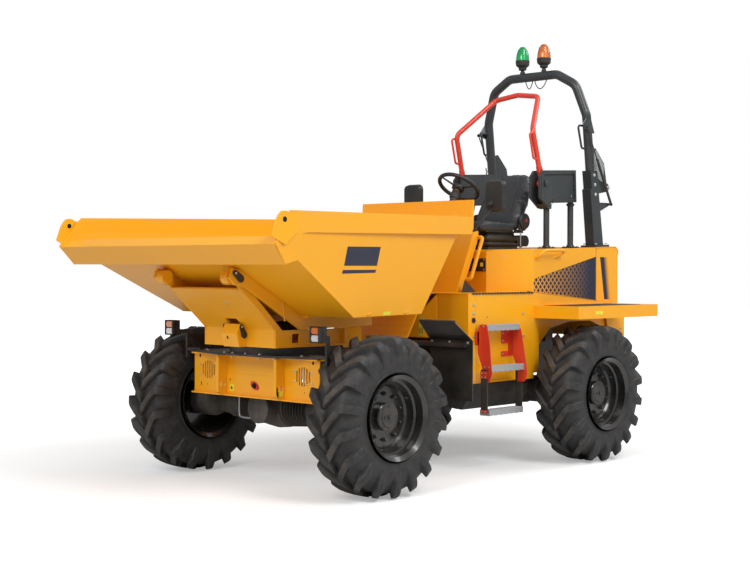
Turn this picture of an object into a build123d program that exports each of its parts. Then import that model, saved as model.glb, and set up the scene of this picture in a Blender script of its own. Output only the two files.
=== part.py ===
from build123d import *
import math
import os

# Articulated site dumper with a swivel skip: four equal driven wheels, a front frame that carries the
# skip on a slewing turret, and a rear frame that carries the driver, the engine and the roll-over hoop.
# Millimetres. While it is modelled x runs forward from mid wheelbase, y to the left and z up from the
# ground; save() moves everything so that the origin is under the middle of the overall length.

# ---- driving dimensions -------------------------------------------------------------------------
wheelbase = 2442
track = 1862  # between the centre planes of the tyres
tyre_radius = 532
tyre_width = 372
lip_x = 2320  # foremost crease of the skip lip
tail_x = -2180  # rearmost face of the tow hitch
seat_gap = 0.3  # between pieces that sit on each other
running_gap = 0.05  # radial, in a bearing

# wheels
rim_radius = 281  # over the flanges
barrel_radius = 252
rim_offset = 184  # from the tyre's centre plane to the flange edge
rim_wall = 9
disc_y = 40  # outer face of the disc, outboard of the centre plane
hub_radius = 92
hub_reach = 84
spindle_radius = 45
lug_count = 18  # on each side of the tread
lug_depth = 34
lug_width = 66  # along the circumference
lug_sweep = 158  # what a lug gains along the circumference up to the shoulder

# frames
pivot_x = 100  # steering pivot
frame_half = 290  # outside of the frame rails
rail_wall = 30
rail_low = 645
rail_high = 900
pin_radius = 45
front_rail_start = 300
front_rail_end = 1440
rear_rail_start = -200
rear_rail_end = -2090

# slewing turret and tipping skip
slew_x = 1180  # turntable centre
ring_radius = 400
deck_z = 915
turret_z = 969
tip_x = 2003  # hinge of the skip
tip_z = 1440
turret_half = 363
ram_base = (1640, 1050)  # x, z of the tip ram's base pin
ram_eye = (900, 1118)
skip_floor_z = 1182
band_low = 1722
skip_sheet = 10

# rear body
floor_z = 1320
box_y = 670  # outside of the side boxes
box_front_x = -24  # leaves the swung skip its clearance
box_rear_x = -834
box_low = 650
fender_y = 1085
fender_z = 1217
fender_front_x = -840
fender_rear_x = -1973
hood_y = 600
hood_crease_x = -920
hood_front_x = -640
cowl_x = -1795
cowl_rear_x = -2122
console_y = 300

# driver's guard and hoop
guard_pivot = (-1290, 2200)
hoop_y = 519
hoop_tube = 38
hoop_split_z = 2327
fold_pivot = (-2030, 2195)
strut_base = (-2055, 2053)  # x, z of the gas strut's lower pin
strut_eye = (-1690, 2684)
strut_y = 575
hoop_top_z = 3152
hoop_lamp_z = 3425  # top of the flashing lamps
lamp_stem_y = 113

front_axle_x = wheelbase / 2
rear_axle_x = -wheelbase / 2
wheel_y = track / 2
origin_x = (lip_x + tail_x) / 2

parts = {}


# ---- makers -------------------------------------------------------------------------------------
def block(x, y, z):
    """Box between pairs of coordinates."""
    size = [abs(b - a) for a, b in (x, y, z)]
    centre = [(a + b) / 2 for a, b in (x, y, z)]
    return Pos(*centre) * Box(*size)


def outline(points):
    return make_face(Polyline(*points, close=True))


def along_y(points, y0, y1):
    """Prism of an (x, z) outline between two y."""
    return extrude(Plane.XZ.offset(-y0) * outline(points), amount=y1 - y0, dir=(0, 1, 0))


def along_z(points, z0, z1):
    """Prism of an (x, y) outline between two z."""
    return extrude(Pos(0, 0, z0) * outline(points), amount=z1 - z0, dir=(0, 0, 1))


def along_x(points, x0, x1):
    """Prism of a (y, z) outline between two x."""
    return extrude(Plane.YZ.offset(x0) * outline(points), amount=x1 - x0, dir=(1, 0, 0))


def rod(start, end, radius):
    axis = Vector(*end) - Vector(*start)
    return extrude(Plane(start, z_dir=axis) * Circle(radius), amount=axis.length)


def pin_y(x, z, y0, y1, radius):
    return rod((x, y0, z), (x, y1, z), radius)


def pin_z(x, y, z0, z1, radius):
    return rod((x, y, z0), (x, y, z1), radius)


def bent_tube(points, radius, bends):
    path = FilletPolyline(*points, radius=bends)
    return sweep(Plane(path @ 0, z_dir=path % 0) * Circle(radius), path=path)


def turned_y(profile, centre):
    """Solid of revolution about a line along y; profile is (radius, y) from the centre."""
    face = make_face(Polyline(*[(r, y) for r, y in profile], close=True))
    return Pos(*centre) * revolve(face, axis=Axis.Y)


def group(*pieces):
    """Pieces of one node that do not touch."""
    return Compound([solid for piece in pieces for solid in piece.solids()])


def both(piece):
    """A piece and its mirror image on the other side."""
    return group(piece, mirror(piece, about=Plane.XZ))


def twinned(piece):
    """A piece fused with its mirror image."""
    return piece + mirror(piece, about=Plane.XZ)


def joined(first, *others):
    for other in others:
        first = first + other
    return first


def ram(base, eye, barrel_r, rod_r, eye_r, eye_half, barrel_end, rod_start, pin_r):
    """Barrel and rod of a ram lying along x, from its base pin at the origin to its rod eye."""
    barrel = rod((eye_r - 6, 0, 0), (barrel_end, 0, 0), barrel_r)
    barrel = barrel + pin_y(0, 0, -eye_half, eye_half, eye_r)
    barrel = barrel - rod((eye_r + 14, 0, 0), (barrel_end + 1, 0, 0), rod_r + running_gap)
    barrel = barrel - pin_y(0, 0, -eye_half - 1, eye_half + 1, pin_r + running_gap)
    length = math.dist(base, eye)
    stem = rod((rod_start, 0, 0), (length - eye_r + 4, 0, 0), rod_r)
    stem = stem + pin_y(length, 0, -eye_half, eye_half, eye_r)
    stem = stem - pin_y(length, 0, -eye_half - 1, eye_half + 1, pin_r)
    return barrel, stem


# ---- wheels -------------------------------------------------------------------------------------
def flats(radius, y):
    """Regular polygon about the wheel's axis with one flat for each lug pitch."""
    corner = radius / math.cos(math.pi / lug_count)
    turns = [2 * math.pi * (i + 0.5) / lug_count for i in range(lug_count)]
    return Plane.XZ.offset(-y) * outline([(corner * math.cos(a), corner * math.sin(a)) for a in turns])


def tyre():
    """Carcass with two rows of slanting lugs that turn radial over the shoulders."""
    half, crown = tyre_width / 2, tyre_radius
    seat = barrel_radius + rim_wall + seat_gap
    tread = crown - lug_depth
    bead = rim_radius + 30
    shoulder = loft([flats(crown - 110, half - 14), flats(tread, half - 80)], ruled=True)
    crown_band = loft([flats(tread, half - 80), flats(tread, 80 - half)], ruled=True)
    carcass = shoulder.fuse(mirror(shoulder, about=Plane.XZ), crown_band)
    hollow = [(0, half), (bead, half), (bead, half - 14), (seat, half - 36)]
    carcass = carcass - turned_y(hollow + [(r, -y) for r, y in reversed(hollow)], (0, 0, 0))
    start, end, w = -lug_sweep / 2 - 10, lug_sweep / 2 - 10, lug_width / 2
    plan = [
        (start - w, -8), (start + w, -8), (end + w, half - 52), (end + w - 6, half + 10),
        (end - w + 6, half + 10), (end - w - 4, half - 52),
    ]
    top = math.sqrt(crown ** 2 - (start - w) ** 2)  # the corners of a lug's flat face reach the tyre's radius
    section = [(-10, crown - 160), (-10, top), (half - 30, top), (half, crown - 76), (half - 30, crown - 160)]
    phase = math.asin((w - start) / crown) - math.pi / 2  # one corner stands on the ground
    lugs = []
    for side in (1, -1):
        bar = extrude(outline([(u, -side * v) for u, v in plan]), amount=crown)
        bar = bar & along_x([(-side * v, h) for v, h in section], -200, 200)
        for i in range(lug_count):
            turn = phase + 2 * math.pi * (i + (1 - side) / 4) / lug_count
            radial = (math.cos(turn), 0, math.sin(turn))
            along = (-math.sin(turn), 0, math.cos(turn))
            lugs.append(Plane(origin=(0, 0, 0), x_dir=along, z_dir=radial) * bar)
    return carcass.fuse(*lugs)


def rim(side):
    """Rim barrel with rolled flanges and well steps, dished disc and planetary hub."""
    edge, barrel, wall = rim_offset, barrel_radius, rim_wall
    outer_half = [(rim_radius, edge), (rim_radius, edge - 6), (barrel + wall, edge - 30)]
    outer = outer_half + [(r, -y) for r, y in reversed(outer_half)]
    inner = [
        (barrel, -edge + 24), (barrel, disc_y - 60), (barrel - 30, disc_y - 12),
        (hub_radius + 30, disc_y - 12),
        (hub_radius + 30, -60), (spindle_radius + running_gap, -60), (spindle_radius + running_gap, 0),
        (0, 0), (0, hub_reach), (hub_radius - 12, hub_reach), (hub_radius, hub_reach - 12),
        (hub_radius, disc_y), (barrel - 52, disc_y), (barrel - 40, disc_y + 14), (barrel - 20, disc_y + 14),
        (barrel - 16, disc_y + 54), (barrel, disc_y + 62), (barrel, edge - 20),
    ]
    return turned_y([(r, side * y) for r, y in outer + inner], (0, 0, 0))


tread = tyre()
for end, axle_x in (("front", front_axle_x), ("rear", rear_axle_x)):
    for name, side in (("left", 1), ("right", -1)):
        place = Pos(axle_x, side * wheel_y, tyre_radius)
        parts[f"tyre_{end}_{name}"] = place * tread
        parts[f"rim_{end}_{name}"] = place * rim(side)


# ---- axles --------------------------------------------------------------------------------------
def axle(x):
    """Beam axle: drive head, round tubes, finned brake drums and pads under the frame rails."""
    drum = wheel_y - rim_offset + 20
    profile = [
        (0, 0), (150, 0), (140, 90), (96, 150), (90, 330), (108, 350), (108, 470), (92, 490), (84, 620),
        (118, drum - 60), (118, wheel_y - 66), (spindle_radius, wheel_y - 66),
        (spindle_radius, wheel_y - 1), (0, wheel_y - 1),
    ]
    half = turned_y(profile, (x, 0, tyre_radius))
    body = twinned(half) + rod((x - 230, 0, tyre_radius), (x + 230, 0, tyre_radius), 104)
    for y in (275, -275):
        body = body + block((x - 70, x + 70), (y - 40, y + 40), (tyre_radius, rail_low - seat_gap))
    return body


parts["front_axle"] = axle(front_axle_x)
parts["rear_axle"] = axle(rear_axle_x)

# ---- front frame --------------------------------------------------------------------------------
inner = frame_half - rail_wall
sleeve_low, sleeve_high = rail_low + 60, rail_high - 60
flap_x, flap_in, flap_out = 482, 740, 1122
steer_base = (-350, 180, 560)
steer_eye = (330, 200, 560)


def front_chassis():
    """Two rails, cross members, the pivot sleeve, the steering lug and the arms of the mudflaps."""
    x0, x1 = front_rail_start, front_rail_end
    frame = twinned(block((x0, x1), (inner, frame_half), (rail_low, rail_high)))
    for x in (x0, 800, x1 - rail_wall):
        frame = frame + block((x, x + rail_wall), (-frame_half, frame_half), (rail_low, rail_high))
    frame = frame + twinned(block((x0, x1), (inner - 60, frame_half), (rail_high - 14, rail_high)))
    nose = [(x0 + 10, -200), (x0 + 10, 200), (pivot_x + 30, 80), (pivot_x + 30, -80)]
    for low in (sleeve_low, sleeve_high - 28):
        frame = frame + along_z(nose, low, low + 28)
    frame = frame + pin_z(pivot_x, 0, sleeve_low, sleeve_high, 85)
    frame = frame - pin_z(pivot_x, 0, sleeve_low - 1, sleeve_high + 1, pin_radius + running_gap)
    ex, ey, ez = steer_eye
    for low, high in ((ez - 62, ez - 36), (ez + 36, ez + 60)):
        plan = [(ex - 40, ey - 35), (ex - 40, ey + 35), (ex + 110, ey + 60), (ex + 110, ey - 60)]
        lug = along_z(plan, low, high)
        frame = frame + lug
    frame = frame + block((ex + 100, ex + 120), (ey - 60, inner + 1), (ez - 62, rail_low + 20))
    arm_x = flap_x + 4 + seat_gap
    arm = block((arm_x, arm_x + 40), (inner, flap_out - 42), (960, 990))
    post = block((arm_x, arm_x + 40), (inner, frame_half), (rail_high - 20, 990))
    return frame + twinned(arm + post)


def mudflap():
    """Hanging flap with its top bent forward over the tyre and one corner cut."""
    lower = block((flap_x - 4, flap_x + 4), (flap_in, flap_out), (590, 1005))
    rise = [(flap_x - 4, 1005), (flap_x + 4, 1005), (614, 1144), (606, 1150)]
    corner = [(flap_out + 1, 1010), (flap_out + 1, 1160), (flap_out - 60, 1160), (flap_out - 60, 1132)]
    cut = along_x(corner, flap_x - 20, flap_x + 200)
    return lower + (along_y(rise, flap_in, flap_out) - cut)


def slew_deck():
    """Deck plate on the front rails, fixed race of the slewing ring and arms of the marker lamps."""
    plan = [
        (720, -330), (720, 330), (1400, 640), (1500, 640), (1598, 260),
        (1598, -260), (1500, -640), (1400, -640),
    ]
    plate = along_z(plan, rail_high + seat_gap, deck_z)
    race = pin_z(slew_x, 0, rail_high + seat_gap, turret_z - seat_gap, ring_radius)
    ring = plate + race - pin_z(slew_x, 0, rail_high, turret_z, ring_radius - 90)
    arm = joined(
        block((1470, 1500), (560, 724), (deck_z - 10, deck_z + 12)),
        block((1470, 1500), (706, 724), (deck_z - 60, 1060)),
        block((1470, 1570), (706, 724), (1030, 1060)),
    )
    return ring + twinned(arm)


bumper_x, bumper_half, bumper_low, bumper_high = 1483, 640, 608, rail_high - seat_gap
web_y, lamp_y, lamp_z, louvres = 296, 485, 779, 6


def bumper():
    """Bolt-on front box: plate with a pressed channel, flanges, tie-down webs and louvred windows."""
    t = 10
    plate = block((bumper_x - t, bumper_x), (-bumper_half, bumper_half), (bumper_low, bumper_high))
    top = block((bumper_x - 43, bumper_x + 30), (-bumper_half, bumper_half), (bumper_high - t, bumper_high))
    low = block((bumper_x - t, bumper_x + 30), (-bumper_half, bumper_half), (bumper_low, bumper_low + t))
    body = joined(plate, top, low)
    body = body - block((bumper_x - 4, bumper_x + 1), (-web_y + 14, web_y - 14), (765, 830))
    web_outline = [
        (bumper_x - 4, bumper_low + 4), (bumper_x + 52, bumper_low + 12), (bumper_x + 74, bumper_low + 26),
        (bumper_x + 82, bumper_low + 52), (bumper_x + 82, bumper_high - 8), (bumper_x - 4, bumper_high),
    ]
    for s in (1, -1):
        web = along_y(web_outline, s * web_y - 13, s * web_y + 13)
        body = body + web - pin_y(bumper_x + 42, 688, s * web_y - 20, s * web_y + 20, 26)
    foot = block((front_rail_end + seat_gap, bumper_x - t), (inner, frame_half), (660, 870))
    slots = []
    for i in range(louvres):
        off = (i - (louvres - 1) / 2) * 24
        reach = 64 * math.sqrt(1 - (off / 74) ** 2)
        across = (lamp_y + off - 7, lamp_y + off + 7)
        slots.append(block((bumper_x - 20, bumper_x + 1), across, (lamp_z - reach, lamp_z + reach)))
    return body - twinned(group(*slots)) + twinned(foot)


def front_lamps():
    """Lamp bowls behind the bumper windows and marker lamps on their arms."""
    face = bumper_x - 10 - seat_gap
    bowl = rod((face - 46, lamp_y, lamp_z), (face, lamp_y, lamp_z), 78)
    marker = block((1570 + seat_gap, 1640), (697, 797), (1020, 1127))
    return group(both(bowl), both(marker))


parts["front_chassis"] = front_chassis()
parts["mudflaps"] = both(mudflap())
parts["slew_deck"] = slew_deck()
parts["front_bumper"] = bumper()
parts["front_lamps"] = front_lamps()


# ---- turret -------------------------------------------------------------------------------------
def turret():
    """Slewing base: floor plate, side plates, forward-leaning front plate and two hinge ears."""
    t = 14
    floor_plan = [(1621, -363), (1621, 363), (960, 400), (730, 300), (730, -300), (960, -400)]
    body = along_z(floor_plan, turret_z, turret_z + t)
    body = body - pin_z(slew_x, 0, turret_z - 1, turret_z + t + 1, 230)
    side_outline = [
        (1621, turret_z), (1621, 1091), (1978, 1405), (tip_x + 26, tip_z + 30), (tip_x - 8, tip_z + 46),
        (tip_x - 44, tip_z + 26), (1560, 1086), (990, 1086), (990, turret_z),
    ]
    side = along_y(side_outline, turret_half - t, turret_half)
    facet_plan = [(730, 286), (730, 300), (960, 400), (1000, 398), (1000, turret_half - t), (962, 386)]
    facet = along_z(facet_plan, turret_z, 1086)
    boss = pin_y(tip_x, tip_z, turret_half - 66, turret_half, 46)
    body = body + twinned(joined(side, facet, boss))
    front = [(1621, turret_z), (1621, 1091), (1930, 1363), (1921, 1373), (1607, 1097), (1607, turret_z)]
    body = body + along_y(front, -turret_half, turret_half)
    body = body + block((730, 744), (-300, 300), (turret_z, 1040))
    cheek = [(1607, turret_z), (1690, turret_z), (1715, 1060), (1680, 1124), (1607, 1098)]
    body = body + twinned(along_y(cheek, 62, 80))
    body = body - block((1560, 1640), (-58, 58), (turret_z - 1, 1120))
    body = body - along_y([(1600, turret_z - 1), (1700, turret_z - 1), (1700, 1300), (1600, 1160)], -58, 58)
    cover = [(1684, turret_z), (1709, 1061), (1675, 1121), (1680, 1124), (1715, 1060), (1690, turret_z)]
    body = body + along_y(cover, -80, 80) - rod((1660, -22, 1032), (1760, -22, 1032), 11)
    body = body - twinned(pin_y(tip_x, tip_z, 200, 400, 28 + running_gap))
    body = body - twinned(pin_y(ram_base[0], ram_base[1], 50, 90, 22))
    window = block((1400, 1470), (300, 420), (1000, 1060))
    pocket = block((1150, 1230), (turret_half - 6, 420), (1010, 1066))
    return body - twinned(window) - twinned(pocket)


parts["turret"] = turret()

angle = math.degrees(math.atan2(ram_eye[1] - ram_base[1], ram_eye[0] - ram_base[0]))
tip_barrel, tip_rod = ram(ram_base, ram_eye, 44, 26, 36, 34, 600, 62, 22)
ram_place = Pos(ram_base[0], 0, ram_base[1]) * Rotation(0, -angle, 0)
base_pin = pin_y(0, 0, -80, 80, 22 - running_gap)
parts["tip_ram_barrel"] = ram_place * (tip_barrel + base_pin + pin_y(0, 0, -34, 34, 30))
parts["tip_ram_rod"] = ram_place * tip_rod


# ---- skip ---------------------------------------------------------------------------------------
def panel_y(x, z):
    """Outside of the skip's side panel."""
    return 577 + 0.2295 * x - 0.047 * (1755 - z)


def skip_wedge(inset, z0, z1):
    """Everything between the two side panels, moved inwards by inset."""
    sections = []
    for z in (z0, z1):
        near, far = panel_y(-400, z) - inset, panel_y(2500, z) - inset
        sections.append(Pos(0, 0, z) * outline([(-400, -near), (-400, near), (2500, far), (2500, -far)]))
    return loft(sections)


def skip_tub():
    """Open tub of folded sheet with box bands along its sides and rear, and a box lip in front."""
    t = skip_sheet
    rear_top, rear_foot, front_foot = (-8, 1755), (493, skip_floor_z), (1403, skip_floor_z)
    lip_under, lip_corner, lip_nose = (2068, 1551), (2209, 1524), (lip_x, 1645)
    hull = [rear_top, rear_foot, front_foot, lip_under, lip_corner, lip_nose, (2200, 1740), (-8, 1900)]
    hollow = [
        (-8 + 1.35 * t, 1755), (493 + 0.6 * t, skip_floor_z + t), (1403 - 0.3 * t, skip_floor_z + t),
        (2060, 1565), (2252, 1640), (2300, 2300), (-230, 2300), (-195, 2021 - 100), (-150, 1900),
    ]
    body = (along_y(hull, -1300, 1300) & skip_wedge(0, 1100, 2100))
    body = body - (along_y(hollow, -1300, 1300) & skip_wedge(t, 1100, 2400))
    band = [
        (-60, 1758), (-190, 1762), (-206, 1893), (-190, 1893), (2157, 1851), (2180, 1830), (lip_x - 2, 1650),
        (2209, 1524), (2170, 1545), (2030, 1715), (1990, band_low),
    ]
    back, front = panel_y(-206, 1755), panel_y(lip_x, 1755)
    rail = along_z([(-206, back - t), (-206, back + 40), (lip_x, front + 4), (lip_x, front - t)], 1500, 1900)
    body = body + twinned(rail & along_y(band, 0, 1300))
    rear_band = [
        (-8, 1755), (-150, 1763), (-206, 1800), (-213, 2021), (-198, 2021),
        (-190, 1890), (-60, 1890), (6, 1760),
    ]
    body = body + along_y(rear_band, -570, 570)
    return body


def skip_rails():
    """Two channel rails under the floor with the hinge eyes and pins, and the lugs of the tip ram."""
    top = skip_floor_z - seat_gap
    rail = [
        (720, top), (720, 1100), (1420, 1088), (1900, 1370), (tip_x, tip_z - 46), (tip_x + 46, tip_z),
        (tip_x + 20, tip_z + 60), (1960, 1489), (1403, top),
    ]
    y0, y1 = turret_half + 8, turret_half + 32
    side = along_y(rail, y0, y1) + block((720, 1400), (y0, y1 + 50), (top - 14, top))
    side = side + pin_y(tip_x, tip_z, turret_half - 66, y1, 28)
    lug = [(830, top), (830, 1140), (876, 1080), (924, 1080), (970, 1140), (970, top)]
    return both(side), both(along_y(lug, 46, 66))


parts["skip_tub"] = skip_tub()
rails, lugs = skip_rails()
parts["skip_rails"] = group(rails, lugs)

# ---- rear frame ---------------------------------------------------------------------------------
def rear_chassis():
    """Two rails with the pivot clevis, the steering base lugs, the belly guard and the tow hitch."""
    x0, x1 = rear_rail_end, rear_rail_start
    frame = twinned(block((x0, x1), (inner, frame_half), (rail_low, rail_high)))
    for x in (x0, -1760, -800, x1 - rail_wall):
        frame = frame + block((x, x + rail_wall), (-frame_half, frame_half), (rail_low, rail_high))
    jaw_half = [(x1 - 10, 200), (pivot_x, 90), (pivot_x + 90, 40)]
    jaw = jaw_half + [(x, -y) for x, y in reversed(jaw_half)]
    for low, high in ((sleeve_low - 35, sleeve_low - 5), (sleeve_high + 5, sleeve_high + 35)):
        frame = frame + along_z(jaw, low, high)
    frame = frame + pin_z(pivot_x, 0, sleeve_low - 40, sleeve_high + 40, pin_radius)
    bx, by, bz = steer_base
    for low, high in ((bz - 62, bz - 36), (bz + 36, bz + 60)):
        plan = [(bx + 36, by - 34), (bx + 36, by + 34), (bx - 70, by + 60), (bx - 70, by - 60)]
        frame = frame + along_z(plan, low, high)
    frame = frame + block((bx - 90, bx - 66), (by - 60, frame_half), (bz - 62, rail_low + 20))
    frame = frame + pin_z(bx, by, bz - 60, bz + 60, 18)
    frame = frame + block((-2080, -1500), (-250, 250), (500, 510))
    frame = frame + twinned(block((-2080, -1500), (250, 262), (500, rail_low + 10)))
    for low in (560, 640):
        frame = frame + block((tail_x, -2080), (-70, 70), (low, low + 24))
    frame = frame + block((-2104, -2080), (-150, 150), (500, 760))
    top = box_low - seat_gap
    tray = [
        (frame_half - 10, top), (frame_half - 10, 470), (560, 450), (636, 560), (636, top),
        (624, top), (624, 566),
        (553, 464), (frame_half + 2, 484), (frame_half + 2, top),
    ]
    frame = frame + twinned(along_x(tray, box_rear_x + 24, box_front_x - 60))
    for x in (box_rear_x + 24, box_front_x - 72):
        bulkhead = tray[:5]
        frame = frame + twinned(along_x(bulkhead, x, x + 12))
    return frame - pin_z(tail_x + 45, 0, 540, 680, 19)


def steering_ram():
    bx, by, bz = steer_base
    ex, ey, ez = steer_eye
    turn = math.degrees(math.atan2(ey - by, ex - bx))
    barrel, stem = ram((bx, by), (ex, ey), 34, 18, 34, 30, 500, 190, 18)
    place = Pos(bx, by, bz) * Rotation(0, 0, turn) * Rotation(90, 0, 0)
    return place * barrel, place * stem


def side_box():
    """Bolted side tank between the pivot and the rear wheel, with its top plate."""
    plan = [(box_front_x, 368), (box_front_x, box_y), (box_rear_x, box_y), (box_rear_x, 368)]
    return along_z(plan, box_low, floor_z - 4 - seat_gap)


def footplate():
    """Chequer platform over the side boxes, the nose and the shoulders beside the engine cover."""
    front, back = box_front_x + 4, hood_front_x - 40
    half = [
        (74, 250), (front, 366), (front, box_y + 2), (box_rear_x, box_y + 2), (box_rear_x, 380),
        (back, 370), (back, 0),
    ]
    plate = twinned(along_z([(74, 0)] + half, floor_z - 4, floor_z))
    nose = [(74, floor_z), (74, 1165), (185, 985), (173, 985), (62, 1160), (62, floor_z)]
    return plate + along_y(nose, -250, 250)


parts["rear_chassis"] = rear_chassis()
parts["steer_ram_barrel"], parts["steer_ram_rod"] = steering_ram()
parts["side_boxes"] = both(side_box())
parts["footplate"] = footplate()


# ---- engine and its cover -----------------------------------------------------------------------
def hood_z(x):
    """Top of the engine cover and of the cowl behind it."""
    return 1655 + 0.0242 * (-720 - x) if x > cowl_x else 1682 + 0.0407 * (cowl_x - x)


def foot_plate(x0, x1, y0, y1, t):
    """Plate that lies on the sloping top."""
    low, high = hood_z(x0) + seat_gap, hood_z(x1) + seat_gap
    return along_y([(x0, low), (x1, high), (x1, high + t), (x0, low + t)], y0, y1)


def engine_cover():
    """Driver's riser, seat deck and both side panels of the engine cover."""
    t = 6
    end_x = cowl_x + 1
    plan_top = [(hood_front_x, 350), (hood_crease_x, hood_y), (end_x, hood_y)]
    plan = plan_top + [(x, -y) for x, y in reversed(plan_top)]
    shell = [
        (hood_front_x, floor_z + seat_gap), (box_rear_x, floor_z + seat_gap), (end_x, 1231.6),
        (end_x, hood_z(end_x)), (-720, 1655), (hood_front_x, 1640),
    ]
    body = along_z(plan, 1100, 1800) & along_y(shell, -700, 700)
    plan_in = [(hood_front_x - t, 345), (hood_crease_x - 3, hood_y - t), (cowl_x - 1, hood_y - t)]
    inside = along_z(plan_in + [(x, -y) for x, y in reversed(plan_in)], 1000, 1800)
    shell_in = [
        (hood_front_x - t, 1100), (cowl_x - 1, 1100), (cowl_x - 1, hood_z(end_x) - t), (-720, 1655 - t),
        (hood_front_x - t, 1632),
    ]
    return body - (inside & along_y(shell_in, -700, 700))


def rear_cowl():
    """Radiator cowl closing the engine bay."""
    t = 8
    front = cowl_x - seat_gap
    shell = [
        (front, 1231.8), (-1850, 1226.6), (-2119, 1200.6), (cowl_rear_x, 1204), (cowl_rear_x, 1660),
        (-2090, hood_z(-2090)), (front, hood_z(front)),
    ]
    inner_shell = [
        (cowl_x + 5, 1100), (-2092, 1100), (cowl_rear_x + t, 1270), (cowl_rear_x + t, 1654), (-2086, 1686),
        (cowl_x + 5, 1674),
    ]
    return along_y(shell, -hood_y, hood_y) - along_y(inner_shell, t - hood_y, hood_y - t)


def rear_body():
    """Lower side skirts beside the rear axle, shoulders under the engine cover and the rear wall."""
    front = box_rear_x - seat_gap
    outer = [
        (front, 700), (front, floor_z), (-1850, 1226), (-2119, 1200), (-2119, 930), (-1900, 930),
        (-1840, 1110), (-900, 1110), (-900, 700),
    ]
    inside = [(-800, 600), (-800, 1314), (-1850, 1218), (-2107, 1193), (-2107, 600)]
    body = along_y(outer, -box_y, box_y) - along_y(inside, 12 - box_y, box_y - 12)
    body = body - block((-2090, -700), (-560, 560), (1150, 1400))
    foot = block((-2110, -2090), (frame_half - 30, frame_half), (rail_low, 960))
    return body + twinned(foot)


def fender():
    """Flat tray mudguard with a folded lip, bolted to the side skirt."""
    t = 8
    body = block((fender_rear_x, fender_front_x), (box_y + seat_gap, fender_y), (1120, fender_z))
    inside = block((fender_rear_x + t, fender_front_x - t), (box_y + 12, fender_y - t), (1100, fender_z - t))
    body = body - inside
    return body


engine = block((-1700, -870), (-230, 230), (700, 1420))
for x in (-1600, -1000):
    engine = engine + block((x, x + 90), (-frame_half, frame_half), (rail_high + seat_gap, 940))
parts["engine_block"] = engine
parts["engine_cover"] = engine_cover()
parts["rear_cowl"] = rear_cowl()
parts["rear_body"] = rear_body()
parts["fenders"] = both(fender())


# ---- steps --------------------------------------------------------------------------------------
step_front_x, step_rear_x, hanger_t = -106, -504, 6
# y from, y to, top and reach past the hangers of each tread
step_rows = [(690, 780, 1085, 0), (736, 826, 785, 0), (722, 812, 462, hanger_t)]
strap_y, strap_low = (738, 798), 438


def step_rails():
    """Shaped hangers of the fixed steps, with slots, a folded foot each and two ears on the side box."""
    y0, foot = box_y + seat_gap, 690
    rows = [
        (y0, 1098), (778, 1100), (800, 914), (826, 760), (812, foot), (734, foot), (722, 800), (y0, 930),
    ]
    pieces = []
    for x, ear in ((step_front_x, 1), (step_rear_x - hanger_t, -1)):
        plate = along_x(rows, x, x + hanger_t)
        for low, left, right in ((1012, 700, 764), (958, 700, 768), (862, 722, 784), (812, 742, 792)):
            plate = plate - block((x - 1, x + hanger_t + 1), (left, right), (low, low + 22))
        far = x + (hanger_t if ear > 0 else 0)
        across = (far, far + ear * 46)
        flange = block(across, (y0, y0 + 6), (960, 1060)) + block(across, (y0, y0 + 6), (935, 952))
        root = block((x, x + hanger_t), (y0, y0 + 20), (930, 1098))
        pieces.append(joined(plate, root, flange))
    return both(group(*pieces))


def step_treads():
    """Three folded treads with serrated front edges."""
    pieces = []
    for y0, y1, top, past in step_rows:
        x0, x1 = step_rear_x + seat_gap - past, step_front_x - seat_gap + past
        tread = block((x0, x1), (y0, y1), (top - 42, top))
        tread = tread - block((x0 + 6, x1 - 6), (y0 + 6, y1 - 6), (top - 43, top - 4))
        for i in range(6):
            x = x0 + 40 + i * 62
            tread = tread - block((x, x + 16), (y1 - 7, y1 + 1), (top - 43, top - 36))
        pieces.append(tread)
    return both(group(*pieces))


def step_straps():
    """Rubber straps that carry the lowest step from the hangers."""
    pieces = []
    for x in (step_front_x + hanger_t + seat_gap, step_rear_x - hanger_t - seat_gap - 10):
        pieces.append(block((x, x + 10), strap_y, (strap_low, 760)))
    return both(group(*pieces))


parts["step_rails"] = step_rails()
parts["step_treads"] = step_treads()
parts["step_straps"] = step_straps()


# ---- driver's place -----------------------------------------------------------------------------
def console():
    """Dash tower with a sloping front plate, side strips and the steering column."""
    shell = [(-328, floor_z + seat_gap), (-540, 1790), (-600, 1800), (-600, 1740), (-400, floor_z + seat_gap)]
    body = along_y(shell, -console_y, console_y)
    column = rod((-530, 0, 1740), (-670, 0, 2092), 26) + rod((-664, 0, 2083), (-698.5, 0, 2132.1), 22)
    boss = rod((-540, 0, 1764), (-584, 0, 1874), 56)
    return joined(body, column, boss)


def grab_handles():
    """Two bent tubes beside the dash tower."""
    y = console_y + seat_gap
    points = [(-452, y, 1420), (-452, y + 45, 1420), (-600, y + 45, 1750), (-600, y, 1750)]
    return both(bent_tube(points, 15, 24))


wheel_centre = (-704, 0, 2140)
wheel_tilt = 35


def steering_wheel():
    """Rim, three spokes, hub and spinner knob."""
    rim_ring = Pos(0, 0, 27) * Torus(165, 13)
    hub = Pos(0, 0, 8) * Cylinder(38, 34)
    wheel = rim_ring + hub
    for turn in (90, 210, 330):
        spoke = rod((20, 0, 8), (165, 0, 26), 8)
        wheel = wheel + Rotation(0, 0, turn) * spoke
    knob = Pos(-150, 70, 58) * Cylinder(20, 50)
    return Pos(*wheel_centre) * Rotation(0, -wheel_tilt, 0) * (wheel + knob)


def seat_base():
    """Suspension unit, slides and the frame of the backrest."""
    base = block((-1220, -870), (-180, 180), (1672, 1806)) + foot_plate(-1240, -850, -200, 200, 20)
    pan = along_y([(-800, 1800), (-1290, 1800), (-1290, 1812), (-800, 1812)], -215, 215)
    return base + pan


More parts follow.
